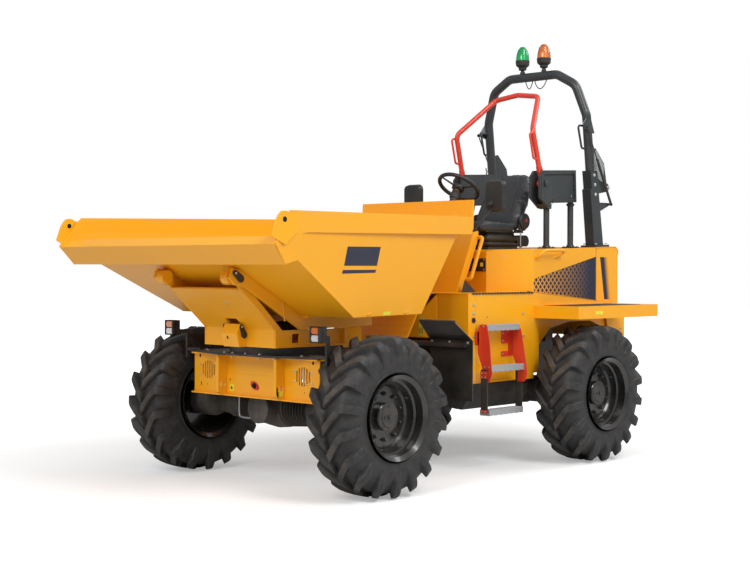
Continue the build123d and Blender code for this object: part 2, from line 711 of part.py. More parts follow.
def seat_cushion():
    """Cushion with a rolled front edge and raised sides."""
    pad_side = [(-704, 1812.3), (-1180, 1812.3), (-1180, 1876), (-760, 1890), (-700, 1868), (-688, 1836)]
    pad = along_y(pad_side, -245, 245)
    roll = along_x([(170, 1870), (190, 1898), (232, 1898), (245, 1862)], -1120, -760)
    return pad + twinned(roll)


def seat_back():
    """Backrest that narrows to the shoulders, with side bolsters."""
    side = [(-1190, 1812.3), (-1290, 1812.3), (-1560, 2270), (-1520, 2304), (-1450, 2290), (-1180.3, 1900)]
    half = [(245, 1812), (250, 1990), (205, 2262), (150, 2310)]
    front_view = half + [(-y, z) for y, z in reversed(half)]
    back = along_y(side, -260, 260) & along_x(front_view, -1600, -1100)
    bolster = [(-1186, 1886), (-1410, 2236), (-1384, 2226), (-1130, 1960), (-1146, 1888)]
    return back + twinned(along_y(bolster, 172, 236))


parts["console"] = console()
parts["grab_handles"] = grab_handles()
parts["steering_wheel"] = steering_wheel()
parts["seat_base"] = seat_base()
parts["seat_cushion"] = seat_cushion()
parts["seat_back"] = seat_back()


def mirror_arm():
    """Mirror head on its stalk."""
    face = Plane.YZ.offset(-662) * Pos(428, 2072) * RectangleRounded(180, 246, 44)
    head = extrude(face, amount=32, taper=16) + extrude(face, amount=-12)
    stalk = rod((-570, 284, 1803), (-652, 400, 1980), 10)
    foot = along_y([(-545, 1791.2), (-595, 1799.5), (-595, 1809), (-545, 1801)], 262, 298)
    return joined(head, stalk, foot)


parts["mirrors"] = both(mirror_arm())


# ---- driver's guard -----------------------------------------------------------------------------
def guard_box():
    """Hollow moulded box that holds the foot of the guard bar, on two posts; its face has a raised border."""
    side = [
        (-1196, 2078), (-1196, 2256), (-1240, 2304), (-1704, 2330),
        (-1716, 2062), (-1366, 2044), (-1356, 1994), (-1310, 2000),
    ]
    panel = [
        (-1222, 2082), (-1222, 2250), (-1250, 2282), (-1684, 2306),
        (-1694, 2084), (-1384, 2066), (-1372, 2020), (-1316, 2024),
    ]
    shell = along_y(side, 350, 449)
    border = along_y(side, 449, 457) - along_y(panel, 448, 458)
    hollow = [(-1170, 2030), (-1400, 2034), (-1400, 2290), (-1334, 2320), (-1262, 2330), (-1170, 2330)]
    shell = shell + border - along_y(hollow, 372, 441)
    for x, z, top in ((-1360, 1672, 2040), (-1700, 1679, 2070)):
        shell = joined(shell, pin_z(x, 405, z + 8, top, 25), foot_plate(x - 52, x + 52, 355, 455, 12))
    return shell


def guard_bar():
    """Red hoop in front of the driver, with two D handles."""
    half = [(-1290, 409, 2200), (-1172, 400, 2634), (-1487, 224, 2945), (-1500, 0, 2975)]
    path = half + [(x, -y, z) for x, y, z in reversed(half[:-1])]
    bar = bent_tube(path, 21.5, 70)
    grip = bent_tube([(-1232, 409, 2394), (-1172, 409, 2400), (-1120, 409, 2600), (-1190, 405, 2612)], 9, 22)
    sockets = pin_y(-1290, 2200, 380, 438, 30) + pin_y(-1290, 2200, 352, 453, 10 - running_gap)
    return bar + twinned(grip) + twinned(sockets)


parts["guard_boxes"] = both(guard_box() - pin_y(-1290, 2200, 340, 460, 10))
parts["guard_bar"] = guard_bar()


# ---- roll-over hoop -----------------------------------------------------------------------------
def leg_x(z):
    return -1775 - 0.125 * (2700 - z)


def rops_lower():
    """Lower posts of the hoop with their feet, the fold hinge lugs and the strut brackets."""
    low, top = 1676, hoop_split_z - seat_gap
    px, pz = fold_pivot
    front = [
        (leg_x(low) + 70, low + 20), (leg_x(2167) + 66, 2167), (leg_x(2167) + 46, 2180),
        (leg_x(top) + 46, top),
    ]
    post = along_y(front + [(leg_x(top) - 50, top), (leg_x(low) - 66, low + 20)], 470, 556)
    foot = foot_plate(leg_x(low) - 104, leg_x(low) + 96, 440, 590, 20)
    root = leg_x(pz) - 30
    lug_outline = [(root, pz - 60), (px, pz - 34), (px - 34, pz), (px, pz + 34), (root, pz + 60)]
    lug = along_y(lug_outline, 482, 504) + along_y(lug_outline, 534, 556)
    bx, bz = strut_base
    root = leg_x(bz) - 30
    bracket = along_y([(root, bz + 12), (bx, bz + 12), (bx - 8, bz - 6), (root, bz - 74)], 540, 556)
    pins = pin_y(px, pz, 484, 554, 14) + pin_y(bx, bz, 545, 586, 7)
    return joined(post, foot, lug, bracket, pins)


def rops_upper():
    """Folding hoop with its hinge plates, strut lugs, handles and lamp stems."""
    x0, z0 = leg_x(hoop_split_z), hoop_split_z
    px, pz = fold_pivot
    points = [
        (x0 + 1, hoop_y, z0 - 8), (leg_x(2790), hoop_y, 2790), (leg_x(3050), 430, 3050),
        (leg_x(hoop_top_z), 250, hoop_top_z),
    ]
    path = points + [(x, -y, z) for x, y, z in reversed(points)]
    hoop = bent_tube(path, hoop_tube, 120) - block((-2500, -1500), (-700, 700), (z0 - 200, z0))
    plate_outline = [
        (px + 30, pz - 24), (px - 24, pz - 24), (px - 34, pz + 10), (-2016, 2401), (-1890, 2521),
        (x0, 2500), (x0, z0 + 10),
        (leg_x(z0) - 58, z0 + 10), (-1920, 2260),
    ]
    plate = along_y(plate_outline, 510, 528) - pin_y(px, pz, 500, 540, 14 + running_gap)
    ex, ez = strut_eye
    gusset = along_y([(-1830, 2640), (ex + 12, ez - 12), (ex + 12, ez + 14), (leg_x(2790), 2790)], 540, 556)
    low_x, high_x = leg_x(2600), leg_x(2760)
    web = along_y([(low_x, 2640), (low_x + 20, 2640), (high_x + 20, 2760), (high_x, 2760)], 510, 556)
    grip_path = [
        (leg_x(2510), hoop_y, 2510), (-1700, 516, 2510), (-1647, 514, 2698), (leg_x(2698), hoop_y, 2698),
    ]
    grip = bent_tube(grip_path, 9, 22)
    top_x = leg_x(hoop_top_z)
    stem = pin_z(top_x, lamp_stem_y, hoop_top_z, 3240, 13) + pin_z(top_x, lamp_stem_y, 3180, 3206, 20)
    return hoop + twinned(joined(plate, gusset, web, grip, stem))


def struts():
    """Gas struts that hold the hoop up."""
    turn = math.degrees(math.atan2(strut_eye[1] - strut_base[1], strut_eye[0] - strut_base[0]))
    barrel, stem = ram(strut_base, strut_eye, 11, 5, 13, 6, 430, 160, 7)
    place = Pos(strut_base[0], strut_y, strut_base[1]) * Rotation(0, -turn, 0)
    return both(place * barrel), both(place * stem)


def beacon(side):
    """Flashing lamp: egg-shaped dome on a flared base."""
    x = leg_x(hoop_top_z)
    profile = [
        (0, 3240), (30, 3240), (54, 3262), (57, 3292), (58, 3300), (54, 3348), (42, 3392), (22, 3418),
        (0, hoop_lamp_z),
    ]
    dome = revolve(Plane.XZ * outline(profile), axis=Axis.Z)
    return Pos(x, side * lamp_stem_y, 0) * (dome - pin_z(0, 0, 3230, 3240 + seat_gap, 40))


parts["rops_lower"] = both(rops_lower())
parts["rops_upper"] = rops_upper()
parts["strut_barrels"], parts["strut_rods"] = struts()
parts["beacon_amber"] = beacon(1)
parts["beacon_green"] = beacon(-1)
parts["rear_lamps"] = both(block((-2134, -2119 - seat_gap), (520, 640), (1020, 1130)))


# ---- write --------------------------------------------------------------------------------------
os.makedirs("parts", exist_ok=True)
for name, shape in parts.items():
    shape = Pos(-origin_x, 0, 0) * shape
    shape.label = name
    export_step(shape, f"parts/{name}.step")
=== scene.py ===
import math
import bmesh
import bpy
from mathutils import Matrix, Vector


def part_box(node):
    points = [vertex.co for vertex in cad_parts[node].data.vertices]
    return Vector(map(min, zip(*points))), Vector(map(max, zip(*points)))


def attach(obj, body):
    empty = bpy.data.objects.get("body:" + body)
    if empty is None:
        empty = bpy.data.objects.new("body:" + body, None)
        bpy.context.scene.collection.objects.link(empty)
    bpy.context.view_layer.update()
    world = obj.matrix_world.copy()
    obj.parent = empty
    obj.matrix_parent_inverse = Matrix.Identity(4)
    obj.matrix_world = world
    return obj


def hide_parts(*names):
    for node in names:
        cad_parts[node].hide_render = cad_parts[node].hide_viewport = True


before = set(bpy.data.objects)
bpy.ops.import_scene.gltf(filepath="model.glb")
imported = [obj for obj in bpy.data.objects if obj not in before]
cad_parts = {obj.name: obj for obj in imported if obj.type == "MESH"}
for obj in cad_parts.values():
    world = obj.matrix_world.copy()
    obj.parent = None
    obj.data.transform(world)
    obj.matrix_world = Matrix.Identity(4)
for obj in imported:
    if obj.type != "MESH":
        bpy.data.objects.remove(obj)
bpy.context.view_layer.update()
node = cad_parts


# ---- welded frames ------------------------------------------------------------------------------
# The front and rear frames and the deck of the slewing ring: thick plate, cut and welded, then
# shot-blasted and sprayed satin black. Zinc-plated bolts hold the deck to the front rails.
lip_x = 2.320  # metres from the drawing's zero forward to the skip's lip
datum_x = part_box("skip_tub")[1].x - lip_x


def spot(x, y, z):
    """A point of the machine's drawing, in millimetres, as a place in the frame."""
    return Vector((datum_x + x / 1000, y / 1000, z / 1000))


def slab(mesh, axis, outline, low, high):
    """Plate cut to an outline, from low to high along one axis; either may follow a sloping face."""
    order = {
        "x": lambda a, b, t: (t, a, b),
        "y": lambda a, b, t: (a, t, b),
        "z": lambda a, b, t: (a, b, t),
    }[axis]
    rings = []
    for level in (low, high):
        depth = level if callable(level) else lambda a, b, level=level: level
        rings.append([mesh.verts.new(spot(*order(a, b, depth(a, b)))) for a, b in outline])
    near, far = rings
    mesh.faces.new(near)
    mesh.faces.new(far[::-1])
    for i in range(len(outline)):
        mesh.faces.new((near[i - 1], near[i], far[i], far[i - 1]))


def bar(mesh, x, y, z):
    """Square-cut bar between three pairs of limits."""
    slab(mesh, "z", [(x[0], y[0]), (x[1], y[0]), (x[1], y[1]), (x[0], y[1])], z[0], z[1])


def rounded(points, radius, steps=4):
    """Outline with its corners rounded."""
    corners = []
    for i, here in enumerate(points):
        here = Vector(here)
        before, after = Vector(points[i - 1]) - here, Vector(points[(i + 1) % len(points)]) - here
        reach = min(radius, before.length / 2.05, after.length / 2.05)
        start, end = here + before.normalized() * reach, here + after.normalized() * reach
        for k in range(steps + 1):
            t = k / steps
            corners.append(tuple(start * (1 - t) ** 2 + here * (2 * t * (1 - t)) + end * t ** 2))
    return corners


def turned(mesh, place, direction, profile, steps=28):
    """Body of revolution; its profile gives the distance along the axis and the radius, in millimetres."""
    axis = Vector(direction).normalized()
    side = axis.orthogonal().normalized()
    other = axis.cross(side)
    turns = [2 * math.pi * k / steps for k in range(steps)]
    around = [side * math.cos(a) + other * math.sin(a) for a in turns]
    rings = []
    for along, radius in profile:
        centre = spot(*place) + axis * along / 1000
        outward = around if radius else [Vector()]
        rings.append([mesh.verts.new(centre + out * radius / 1000) for out in outward])
    for a, b in zip(rings, rings[1:]):
        for k in range(steps):
            near = [a[k - 1], a[k]] if len(a) > 1 else a
            far = [b[k], b[k - 1]] if len(b) > 1 else b
            mesh.faces.new(near + far)
    for ring in (rings[0], rings[-1]):
        if len(ring) > 1:
            mesh.faces.new(ring)


def bolt(mesh, place, direction, size=10):
    """Hexagon bolt head on its washer, with a slightly domed top."""
    turned(mesh, place, direction, [(0, size * 1.15), (size * 0.18, size * 1.15)], 20)
    head = [(size * 0.16, size * 0.9), (size * 0.7, size * 0.9), (size * 0.8, size * 0.78), (size * 0.82, 0)]
    turned(mesh, place, direction, head, 6)


def mirrored(mesh):
    """Adds the right-hand half as the mirror image of the left."""
    copied = bmesh.ops.duplicate(mesh, geom=mesh.verts[:] + mesh.edges[:] + mesh.faces[:])["geom"]
    for vertex in [g for g in copied if isinstance(g, bmesh.types.BMVert)]:
        vertex.co.y = -vertex.co.y


def shown(name, data):
    """Puts a mesh, a curve or a lamp into the scene."""
    piece = bpy.data.objects.new(name, data)
    bpy.context.scene.collection.objects.link(piece)
    return piece


def mounted(piece, body):
    """Fixes a piece to the body that carries it."""
    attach(piece, body)
    return piece


def fixed(name, mesh, finish, body, edge=0.0, sharp=35):
    """Makes a piece of the mesh, gives it its finish and fixes it to the body that carries it."""
    bmesh.ops.recalc_face_normals(mesh, faces=mesh.faces[:])
    data = bpy.data.meshes.new(name)
    mesh.to_mesh(data)
    mesh.free()
    for face in data.polygons:
        face.use_smooth = True
    data.set_sharp_from_angle(angle=math.radians(sharp))
    data.materials.append(finish)
    piece = shown(name, data)
    if edge:
        broken_edges(piece, edge, 2)
    return mounted(piece, body)


def broken_edges(piece, width, steps):
    """Takes the sharpness off folded and cut edges."""
    bevel = piece.modifiers.new("broken edges", "BEVEL")
    bevel.width = width
    bevel.segments = steps
    bevel.limit_method = "ANGLE"
    bevel.angle_limit = math.radians(32)
    bevel.harden_normals = True


def effect(name, inputs, outputs):
    """Shader node group with its sockets, and its two end nodes."""
    group = bpy.data.node_groups.new(name, "ShaderNodeTree")
    for label, kind, value in inputs:
        group.interface.new_socket(name=label, in_out="INPUT", socket_type=kind).default_value = value
    for label, kind in outputs:
        group.interface.new_socket(name=label, in_out="OUTPUT", socket_type=kind)
    return group, group.nodes.new("NodeGroupInput"), group.nodes.new("NodeGroupOutput")


def supply(tree, item, values):
    """Gives a shader node its inlets by name, each as a link or as a plain value."""
    for label, value in values.items():
        if isinstance(value, bpy.types.NodeSocket):
            tree.links.new(value, item.inputs[label])
        else:
            item.inputs[label].default_value = value


def wired(tree, kind, outlet, values, **settings):
    """Makes one shader node, supplies it and hands back one of its outlets."""
    made = tree.nodes.new("ShaderNode" + kind)
    for setting, value in settings.items():
        setattr(made, setting, value)
    supply(tree, made, values)
    return made.outputs[outlet]


def own_place(tree):
    """The piece's own coordinates."""
    return wired(tree, "TexCoord", "Object", {})


def spread(tree, value, low, high):
    """Stretches the values between low and high over 0 to 1."""
    return wired(tree, "MapRange", "Result", {"Value": value, "From Min": low, "From Max": high})


def noise(tree, scale, detail, low, high):
    """Soft patches from 0 to 1."""
    values = {"Vector": own_place(tree), "Scale": scale, "Detail": detail, "Roughness": 0.62}
    return spread(tree, wired(tree, "TexNoise", "Fac", values), low, high)


def mixed(tree, factor, first, second, kind="RGBA"):
    """Mix of two colours or numbers; each is a socket or a plain value."""
    first_inlet, outlet = {"RGBA": (6, 2), "FLOAT": (2, 0)}[kind]
    values = {0: factor, first_inlet: first, first_inlet + 1: second}
    return wired(tree, "Mix", outlet, values, data_type=kind)


def product(tree, first, second, operation="MULTIPLY"):
    """Product, sum or larger one of two numbers, held between 0 and 1."""
    return wired(tree, "Math", 0, {0: first, 1: second}, operation=operation, use_clamp=True)


def relief(tree, height, strength, distance=0.003):
    """Normals that follow a fine pattern's height."""
    return wired(tree, "Bump", "Normal", {"Height": height, "Strength": strength, "Distance": distance})


road_dust = (0.3, 0.25, 0.19)
dust, start, end = effect(
    "settled dust",
    [
        ("Color", "NodeSocketColor", (0.5, 0.5, 0.5, 1)), ("Dust color", "NodeSocketColor", (*road_dust, 1)),
        ("Amount", "NodeSocketFloat", 0.2), ("Roughness", "NodeSocketFloat", 0.4),
    ],
    [("Color", "NodeSocketColor"), ("Roughness", "NodeSocketFloat")],
)
film = product(dust, noise(dust, 4, 6, 0.35, 0.72), start.outputs["Amount"])
supply(dust, end, {
    "Color": mixed(dust, film, start.outputs["Color"], start.outputs["Dust color"]),
    "Roughness": mixed(dust, film, start.outputs["Roughness"], 0.9, "FLOAT"),
})

ripple, start, end = effect(
    "surface ripple",
    [("Scale", "NodeSocketFloat", 220.0), ("Depth", "NodeSocketFloat", 0.04)],
    [("Height", "NodeSocketFloat")],
)
values = {"Vector": own_place(ripple), "Scale": start.outputs["Scale"], "Detail": 1}
grain = wired(ripple, "TexNoise", "Fac", values)
supply(ripple, end, {"Height": product(ripple, grain, start.outputs["Depth"])})


def blank(name):
    """New material, with its node tree and its shader."""
    made = bpy.data.materials.new(name)
    made.use_nodes = True
    return made, made.node_tree, made.node_tree.nodes["Principled BSDF"]


def grouped(tree, effect_group, values):
    """Places a shared effect in a material, with the material's own values."""
    placed = tree.nodes.new("ShaderNodeGroup")
    placed.node_tree = effect_group
    supply(tree, placed, values)
    return placed.outputs


def finish(name, color, roughness, metallic=0.0, coat=0.0, dirt=0.1, texture=0.02, scale=220):
    """Painted, plated or moulded surface with settled dust and a fine texture."""
    made, tree, shader = blank(name)
    clean = {"Color": (*color, 1), "Amount": dirt, "Roughness": roughness}
    settled = grouped(tree, dust, clean)
    textured = grouped(tree, ripple, {"Scale": scale, "Depth": texture})
    supply(tree, shader, {
        "Metallic": metallic, "Coat Weight": coat, "Coat Roughness": 0.08,
        "Base Color": settled["Color"], "Roughness": settled["Roughness"],
        "Normal": relief(tree, textured["Height"], 0.3),
    })
    return made


def dress(name, material, edge=0.003, steps=2):
    """Gives a solid of the frame its finish and breaks its sharp edges."""
    piece = node[name]
    piece.data.materials.clear()
    piece.data.materials.append(material)
    if edge:
        broken_edges(piece, edge, steps)


frame_black = finish("frame black", (0.016, 0.016, 0.018), 0.40, dirt=0.16)
zinc_plate = finish("zinc plate", (0.62, 0.62, 0.60), 0.32, metallic=0.9, dirt=0.05, texture=0.01)
for name in ("front_chassis", "rear_chassis", "slew_deck"):
    dress(name, frame_black)

deck_top = 915
mesh = bmesh.new()
for x, row in ((1580, (-197, -113, 20, 162)), (1490, (-480, 480)), (1440, (560, -560))):
    for y in row:
        bolt(mesh, (x, y, deck_top), (0, 0, 1), 11)
fixed("deck_bolts", mesh, zinc_plate, "front_frame")

# ---- axles and engine block ---------------------------------------------------------------------
# Cast housings, painted black over the rough skin of the casting. The drive head has cooling ribs,
# and a thin steel pipe feeds the brakes; road dust stays on all of it.
axle_height = 532
sides = ((1, "left"), (-1, "right"))
cast_black = finish("cast black", (0.026, 0.025, 0.024), 0.6, dirt=0.32, texture=0.3, scale=90)
pipe_steel = finish("brake pipe", (0.42, 0.43, 0.44), 0.4, metallic=0.8, dirt=0.1)
for name in ("front_axle", "rear_axle", "engine_block"):
    dress(name, cast_black, 0.004)


def bent_pipe(name, points, radius, material, body, order=3):
    """Pipe, hose or bar that follows a smooth line through the drawing's points."""
    line = bpy.data.curves.new(name, "CURVE")
    line.dimensions = "3D"
    line.bevel_depth = radius / 1000
    line.bevel_resolution = 4
    line.use_fill_caps = True
    run = line.splines.new("NURBS")
    run.points.add(len(points) - 1)
    for control, point in zip(run.points, points):
        control.co = (*spot(*point), 1)
    run.order_u = order
    run.use_endpoint_u = True
    run.resolution_u = 8
    line.materials.append(material)
    return mounted(shown(name, line), body)


for name, axle, body in (("front", "front_axle", "front_frame"), ("rear", "rear_axle", "rear_frame")):
    low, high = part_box(axle)
    middle = (low.x + high.x) / 2 - datum_x
    mesh = bmesh.new()
    for i in range(9):
        rib = 136 - 2 * i
        place = (middle * 1000, 104 + 26 * i, axle_height)
        turned(mesh, place, (0, 1, 0), [(0, 90), (0, rib), (6, rib), (6, 90)], 24)
    mirrored(mesh)
    fixed(f"{name}_axle_ribs", mesh, cast_black, body)
brake_line = [
    (1388, -262, 700), (1388, -262, 560), (1388, -262, 462),
    (1392, -240, 450), (1396, -150, 450), (1396, 60, 452),
]
bent_pipe("brake_pipe", brake_line, 7, pipe_steel, "front_frame")

# ---- rims ---------------------------------------------------------------------------------------
# Rolled steel rims in gloss black with a pressed disc. Ten nuts hold each one to the planetary hub,
# whose matt cast cap has its own ring of cover bolts and a filler plug in the middle.
rim_black = finish("rim black", (0.006, 0.006, 0.007), 0.22, coat=0.5, dirt=0.10)
hub_black = finish("hub black", (0.030, 0.030, 0.031), 0.55, dirt=0.25, texture=0.2, scale=120)
nut_circle, cover_circle = 152, 79
wheels = [(end, side, turn) for end in ("front", "rear") for turn, side in sides]
wheel_centre = {}
for end, side, turn in wheels:
    low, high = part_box(f"tyre_{end}_{side}")
    middle = (low + high) / 2
    wheel_centre[end, side] = Vector((middle.x, middle.y, axle_height / 1000))
    x, y = (middle.x - datum_x) * 1000, middle.y * 1000
    dress(f"rim_{end}_{side}", rim_black, 0.002)
    mesh = bmesh.new()
    face, disc = y + turn * 84, y + turn * 40
    for i in range(10):
        a = 2 * math.pi * (i + 0.5) / 10
        nut_x, nut_z = x + nut_circle * math.cos(a), axle_height + nut_circle * math.sin(a)
        bolt(mesh, (nut_x, disc - turn * 0.2, nut_z), (0, turn, 0), 15)
        turned(mesh, (nut_x, disc, nut_z), (0, turn, 0), [(0, 9), (24, 9), (27, 6)], 14)
    fixed(f"wheel_nuts_{end}_{side}", mesh, rim_black, f"wheel_{end}_{side}")
    mesh = bmesh.new()
    cap = [(-1, 93.5), (1, 93.5), (3, 88), (3, 70), (8, 66), (9, 20), (8, 18), (8, 0)]
    turned(mesh, (x, face, axle_height), (0, turn, 0), cap, 48)
    for i in range(8):
        a = 2 * math.pi * i / 8
        cover_x, cover_z = x + cover_circle * math.cos(a), axle_height + cover_circle * math.sin(a)
        bolt(mesh, (cover_x, face + turn * 2, cover_z), (0, turn, 0), 6)
    bolt(mesh, (x + 40, face + turn * 8, axle_height), (0, turn, 0), 8)
    bolt(mesh, (x, face + turn * 8, axle_height), (0, turn, 0), 13)
    fixed(f"hub_cap_{end}_{side}", mesh, hub_black, f"wheel_{end}_{side}")
    stem = ((205, 4, 110), (208, 26, 112), (212, 46, 115))
    stem = [(x - back, disc + turn * out, axle_height + up) for back, out, up in stem]
    bent_pipe(f"valve_{end}_{side}", stem, 4.5, zinc_plate, f"wheel_{end}_{side}")

# ---- tyres --------------------------------------------------------------------------------------
# Tyres moulded in one piece: two rows of lugs slant back from the middle of the tread,
# turn radial over the shoulders and fade out on the sidewall. Their tops are worn and dusty.
lug_count, tyre_radius = 18, 532
lug_pitch = 2 * math.pi / lug_count
tread_phase = math.asin(122 / tyre_radius) - math.pi / 2
across_lug = [(-0.215, 0), (-0.195, 0.12), (-0.172, 0.9), (-0.155, 1)]
across_lug += [(0, 1)] + [(-part, height) for part, height in reversed(across_lug)]
# carcass radius and y, then lug radius and y, from the middle of the tread to the shoulder
tread_rows = [
    (498, 8, 532, 8), (498, 14, 532, 14), (498, 60, 532, 62), (496, 95, 531, 100), (488, 118, 528, 128),
    (474, 134, 522, 146), (455, 150, 508, 164), (430, 162, 486, 176), (405, 168, 458, 184),
    (385, 172, 425, 185), (368, 174, 392, 180), (350, 175, 360, 177),
]
# radius and y of the sidewall and its rings below the lugs, down to the bead
sidewall = [(335, 174), (318, 170), (312, 168), (308, 170), (303, 167), (298, 169), (292, 165), (283, 150)]
tread_rows += [(r, y, r, y) for r, y in sidewall]
rows = [(r, -y, a, -b) for r, y, a, b in reversed(tread_rows)] + [(498, 0, 532, 0)] + tread_rows
columns = []
for i in range(lug_count):
    for half, side in ((0, 1), (0.5, -1)):
        columns += [(i + half + part, side, height) for part, height in across_lug]
tread = bmesh.new()
rings = []
for r, y, top_r, top_y in rows:
    slant = -0.167 + 0.297 * min(abs(y), 134) / 134
    ring = []
    for turn, side, height in columns:
        m = height if y * side > -8 else 0
        radius, across = (r + m * (top_r - r)) / 1000, (y + m * (top_y - y)) / 1000
        a = tread_phase + turn * lug_pitch + slant
        ring.append(tread.verts.new((radius * math.cos(a), across, radius * math.sin(a))))
    rings.append(ring)
for a, b in zip(rings, rings[1:]):
    for k in range(len(columns)):
        tread.faces.new((a[k - 1], a[k], b[k], b[k - 1]))
bmesh.ops.recalc_face_normals(tread, faces=tread.faces[:])
carcass = bpy.data.meshes.new("tyre")
tread.to_mesh(carcass)
tread.free()
for face in carcass.polygons:
    face.use_smooth = True
carcass.set_sharp_from_angle(angle=math.radians(38))

rubber, tree, shader = blank("tyre rubber")
squares = []
for label in "XZ":
    part = wired(tree, "SeparateXYZ", label, {"Vector": own_place(tree)})
    squares.append(wired(tree, "Math", 0, {0: part, 1: 2}, operation="POWER"))
both = wired(tree, "Math", 0, {0: squares[0], 1: squares[1]})
out_far = wired(tree, "Math", 0, {0: both}, operation="SQRT")
smeared = product(tree, spread(tree, out_far, 0.500, 0.530), noise(tree, 7, 8, 0.38, 0.66))
dusty = product(tree, noise(tree, 22, 5, 0.4, 0.8), 0.35)
dusty = product(tree, dusty, product(tree, smeared, 0.75), "MAXIMUM")
pores = grouped(tree, ripple, {"Scale": 150, "Depth": 0.3})
supply(tree, shader, {
    "Base Color": mixed(tree, dusty, (0.014, 0.0145, 0.016, 1), (0.105, 0.088, 0.072, 1)),
    "Roughness": mixed(tree, dusty, 0.52, 0.9, "FLOAT"),
    "Normal": relief(tree, pores["Height"], 0.35),
})
carcass.materials.append(rubber)
for end, side, turn in wheels:
    tyre = shown(f"tyre_tread_{end}_{side}", carcass)
    tyre.location = wheel_centre[end, side]
    mounted(tyre, f"wheel_{end}_{side}")
    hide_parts(f"tyre_{end}_{side}")

# ---- front bumper -------------------------------------------------------------------------------
# Bolt-on box of folded plate in the machine's warm yellow two-pack gloss, with a pressed channel
# and louvred lamp windows. The battery isolator's red ring and two blank labels sit on its face.
machine_yellow = finish("machine yellow", (0.91, 0.40, 0.004), 0.34, coat=0.15, dirt=0.02)
# Flat black: the isolator's own black socket, and painted shade for holes, lug eyes and vent slots drawn as
# thin black sheets.
socket_black_and_hole_shade = finish("black socket and painted hole shade", (0.004, 0.004, 0.004), 0.9, dirt=0.0)
red_plastic = finish("red plastic", (0.60, 0.02, 0.015), 0.3, dirt=0.02)
label_yellow = finish("label film", (0.80, 0.70, 0.05), 0.45, dirt=0.02, texture=0.0)
label_ink = finish("label print", (0.02, 0.02, 0.02), 0.5, dirt=0.02, texture=0.0)
dress("front_bumper", machine_yellow)

face_x = 1483  # the bumper's front face
web_y = 309


def ellipse(y, z, across, tall, steps=28):
    """Outline of an oval."""
    turns = [2 * math.pi * k / steps for k in range(steps)]
    return [(y + across * math.cos(a), z + tall * math.sin(a)) for a in turns]


mesh = bmesh.new()
for y, z in ((-568, 810), (-568, 739), (-402, 812), (-402, 746)):
    bolt(mesh, (face_x, y, z), (1, 0, 0), 7)
mirrored(mesh)
for y in (-217, 65, 217):
    bolt(mesh, (1500, y, 889.6), (0, 0, -1), 10)
    turned(mesh, (1500, y, 889), (0, 0, -1), [(0, 6), (16, 6), (17, 5)], 12)
fixed("bumper_bolts", mesh, zinc_plate, "front_frame")
# Thin black discs on the bumper's face are painted shade where its holes are.
mesh = bmesh.new()
for y, z, across, tall in ((579, 875, 9, 14), (564, 675, 4, 16), (497, 674, 3, 5)):
    slab(mesh, "x", ellipse(y, z, across, tall, 16), face_x, face_x + 0.5)
mirrored(mesh)
slab(mesh, "x", [(-255, 712), (-249, 712), (-249, 730), (-255, 730)], face_x, face_x + 0.5)
fixed("bumper_hole_shades", mesh, socket_black_and_hole_shade, "front_frame")

mesh = bmesh.new()
turn = Matrix.Rotation(math.radians(-25), 2)
oval = [tuple(turn @ Vector(p)) for p in ellipse(0, 0, 44, 26)]
slab(mesh, "x", [(y + 8, z + 692) for y, z in oval], face_x, face_x + 6)
for y in (-22, 38):
    turned(mesh, (face_x + 6, y, 692 - (y - 8) * 0.46), (1, 0, 0), [(0, 8), (3, 7), (3.4, 0)], 14)
fixed("isolator_ring", mesh, red_plastic, "front_frame", 0.002)
mesh = bmesh.new()
turned(mesh, (face_x + 6, 8, 692), (1, 0, 0), [(0, 19), (4, 19), (10, 14), (14, 13), (15, 0)], 24)
fixed("isolator_socket", mesh, socket_black_and_hole_shade, "front_frame")
mesh = bmesh.new()
slab(mesh, "x", [(-258, 641), (-212, 641), (-212, 691), (-258, 691)], face_x, face_x + 0.8)
slab(mesh, "y", rounded([(1500, 636), (1542, 636), (1542, 676), (1500, 676)], 8), web_y, web_y + 0.8)
fixed("bumper_labels", mesh, label_yellow, "front_frame")
mesh = bmesh.new()
slab(mesh, "x", [(-248, 655), (-222, 655), (-235, 679)], face_x + 0.8, face_x + 1.2)
fixed("bumper_label_print", mesh, label_ink, "front_frame")
mesh = bmesh.new()
foot = rounded([(1536, 632), (1560, 640), (1562, 700), (1536, 700)], 10)
for s in (-1, 1):
    slab(mesh, "y", foot, *sorted((s * web_y, s * (web_y - 0.4))))
fixed("web_feet", mesh, machine_yellow, "front_frame")

# ---- front lamps --------------------------------------------------------------------------------
# Headlamps behind the louvres: a bright reflector bowl under a clear ribbed lens. The marker lamps
# are black moulded boxes on plate arms, an amber lens over a white one.
black_plastic = finish("black moulding", (0.014, 0.014, 0.015), 0.45, dirt=0.08, texture=0.12, scale=400)
bright = finish("bright reflector", (0.82, 0.83, 0.85), 0.12, metallic=1.0, dirt=0.0, texture=0.0)


def lens(name, color, through=0.6, roughness=0.12):
    """Clear or coloured moulded lens with fine ribs."""
    made, tree, shader = blank(name)
    ribs = wired(tree, "TexWave", "Fac", {"Vector": own_place(tree), "Scale": 60, "Distortion": 0})
    darker = tuple(c * 0.8 for c in color)
    supply(tree, shader, {
        "Base Color": mixed(tree, noise(tree, 30, 3, 0.4, 0.9), (*color, 1), (*darker, 1)),
        "Transmission Weight": through, "IOR": 1.49, "Roughness": roughness,
        "Normal": relief(tree, ribs, 0.25, 0.001),
    })
    return made


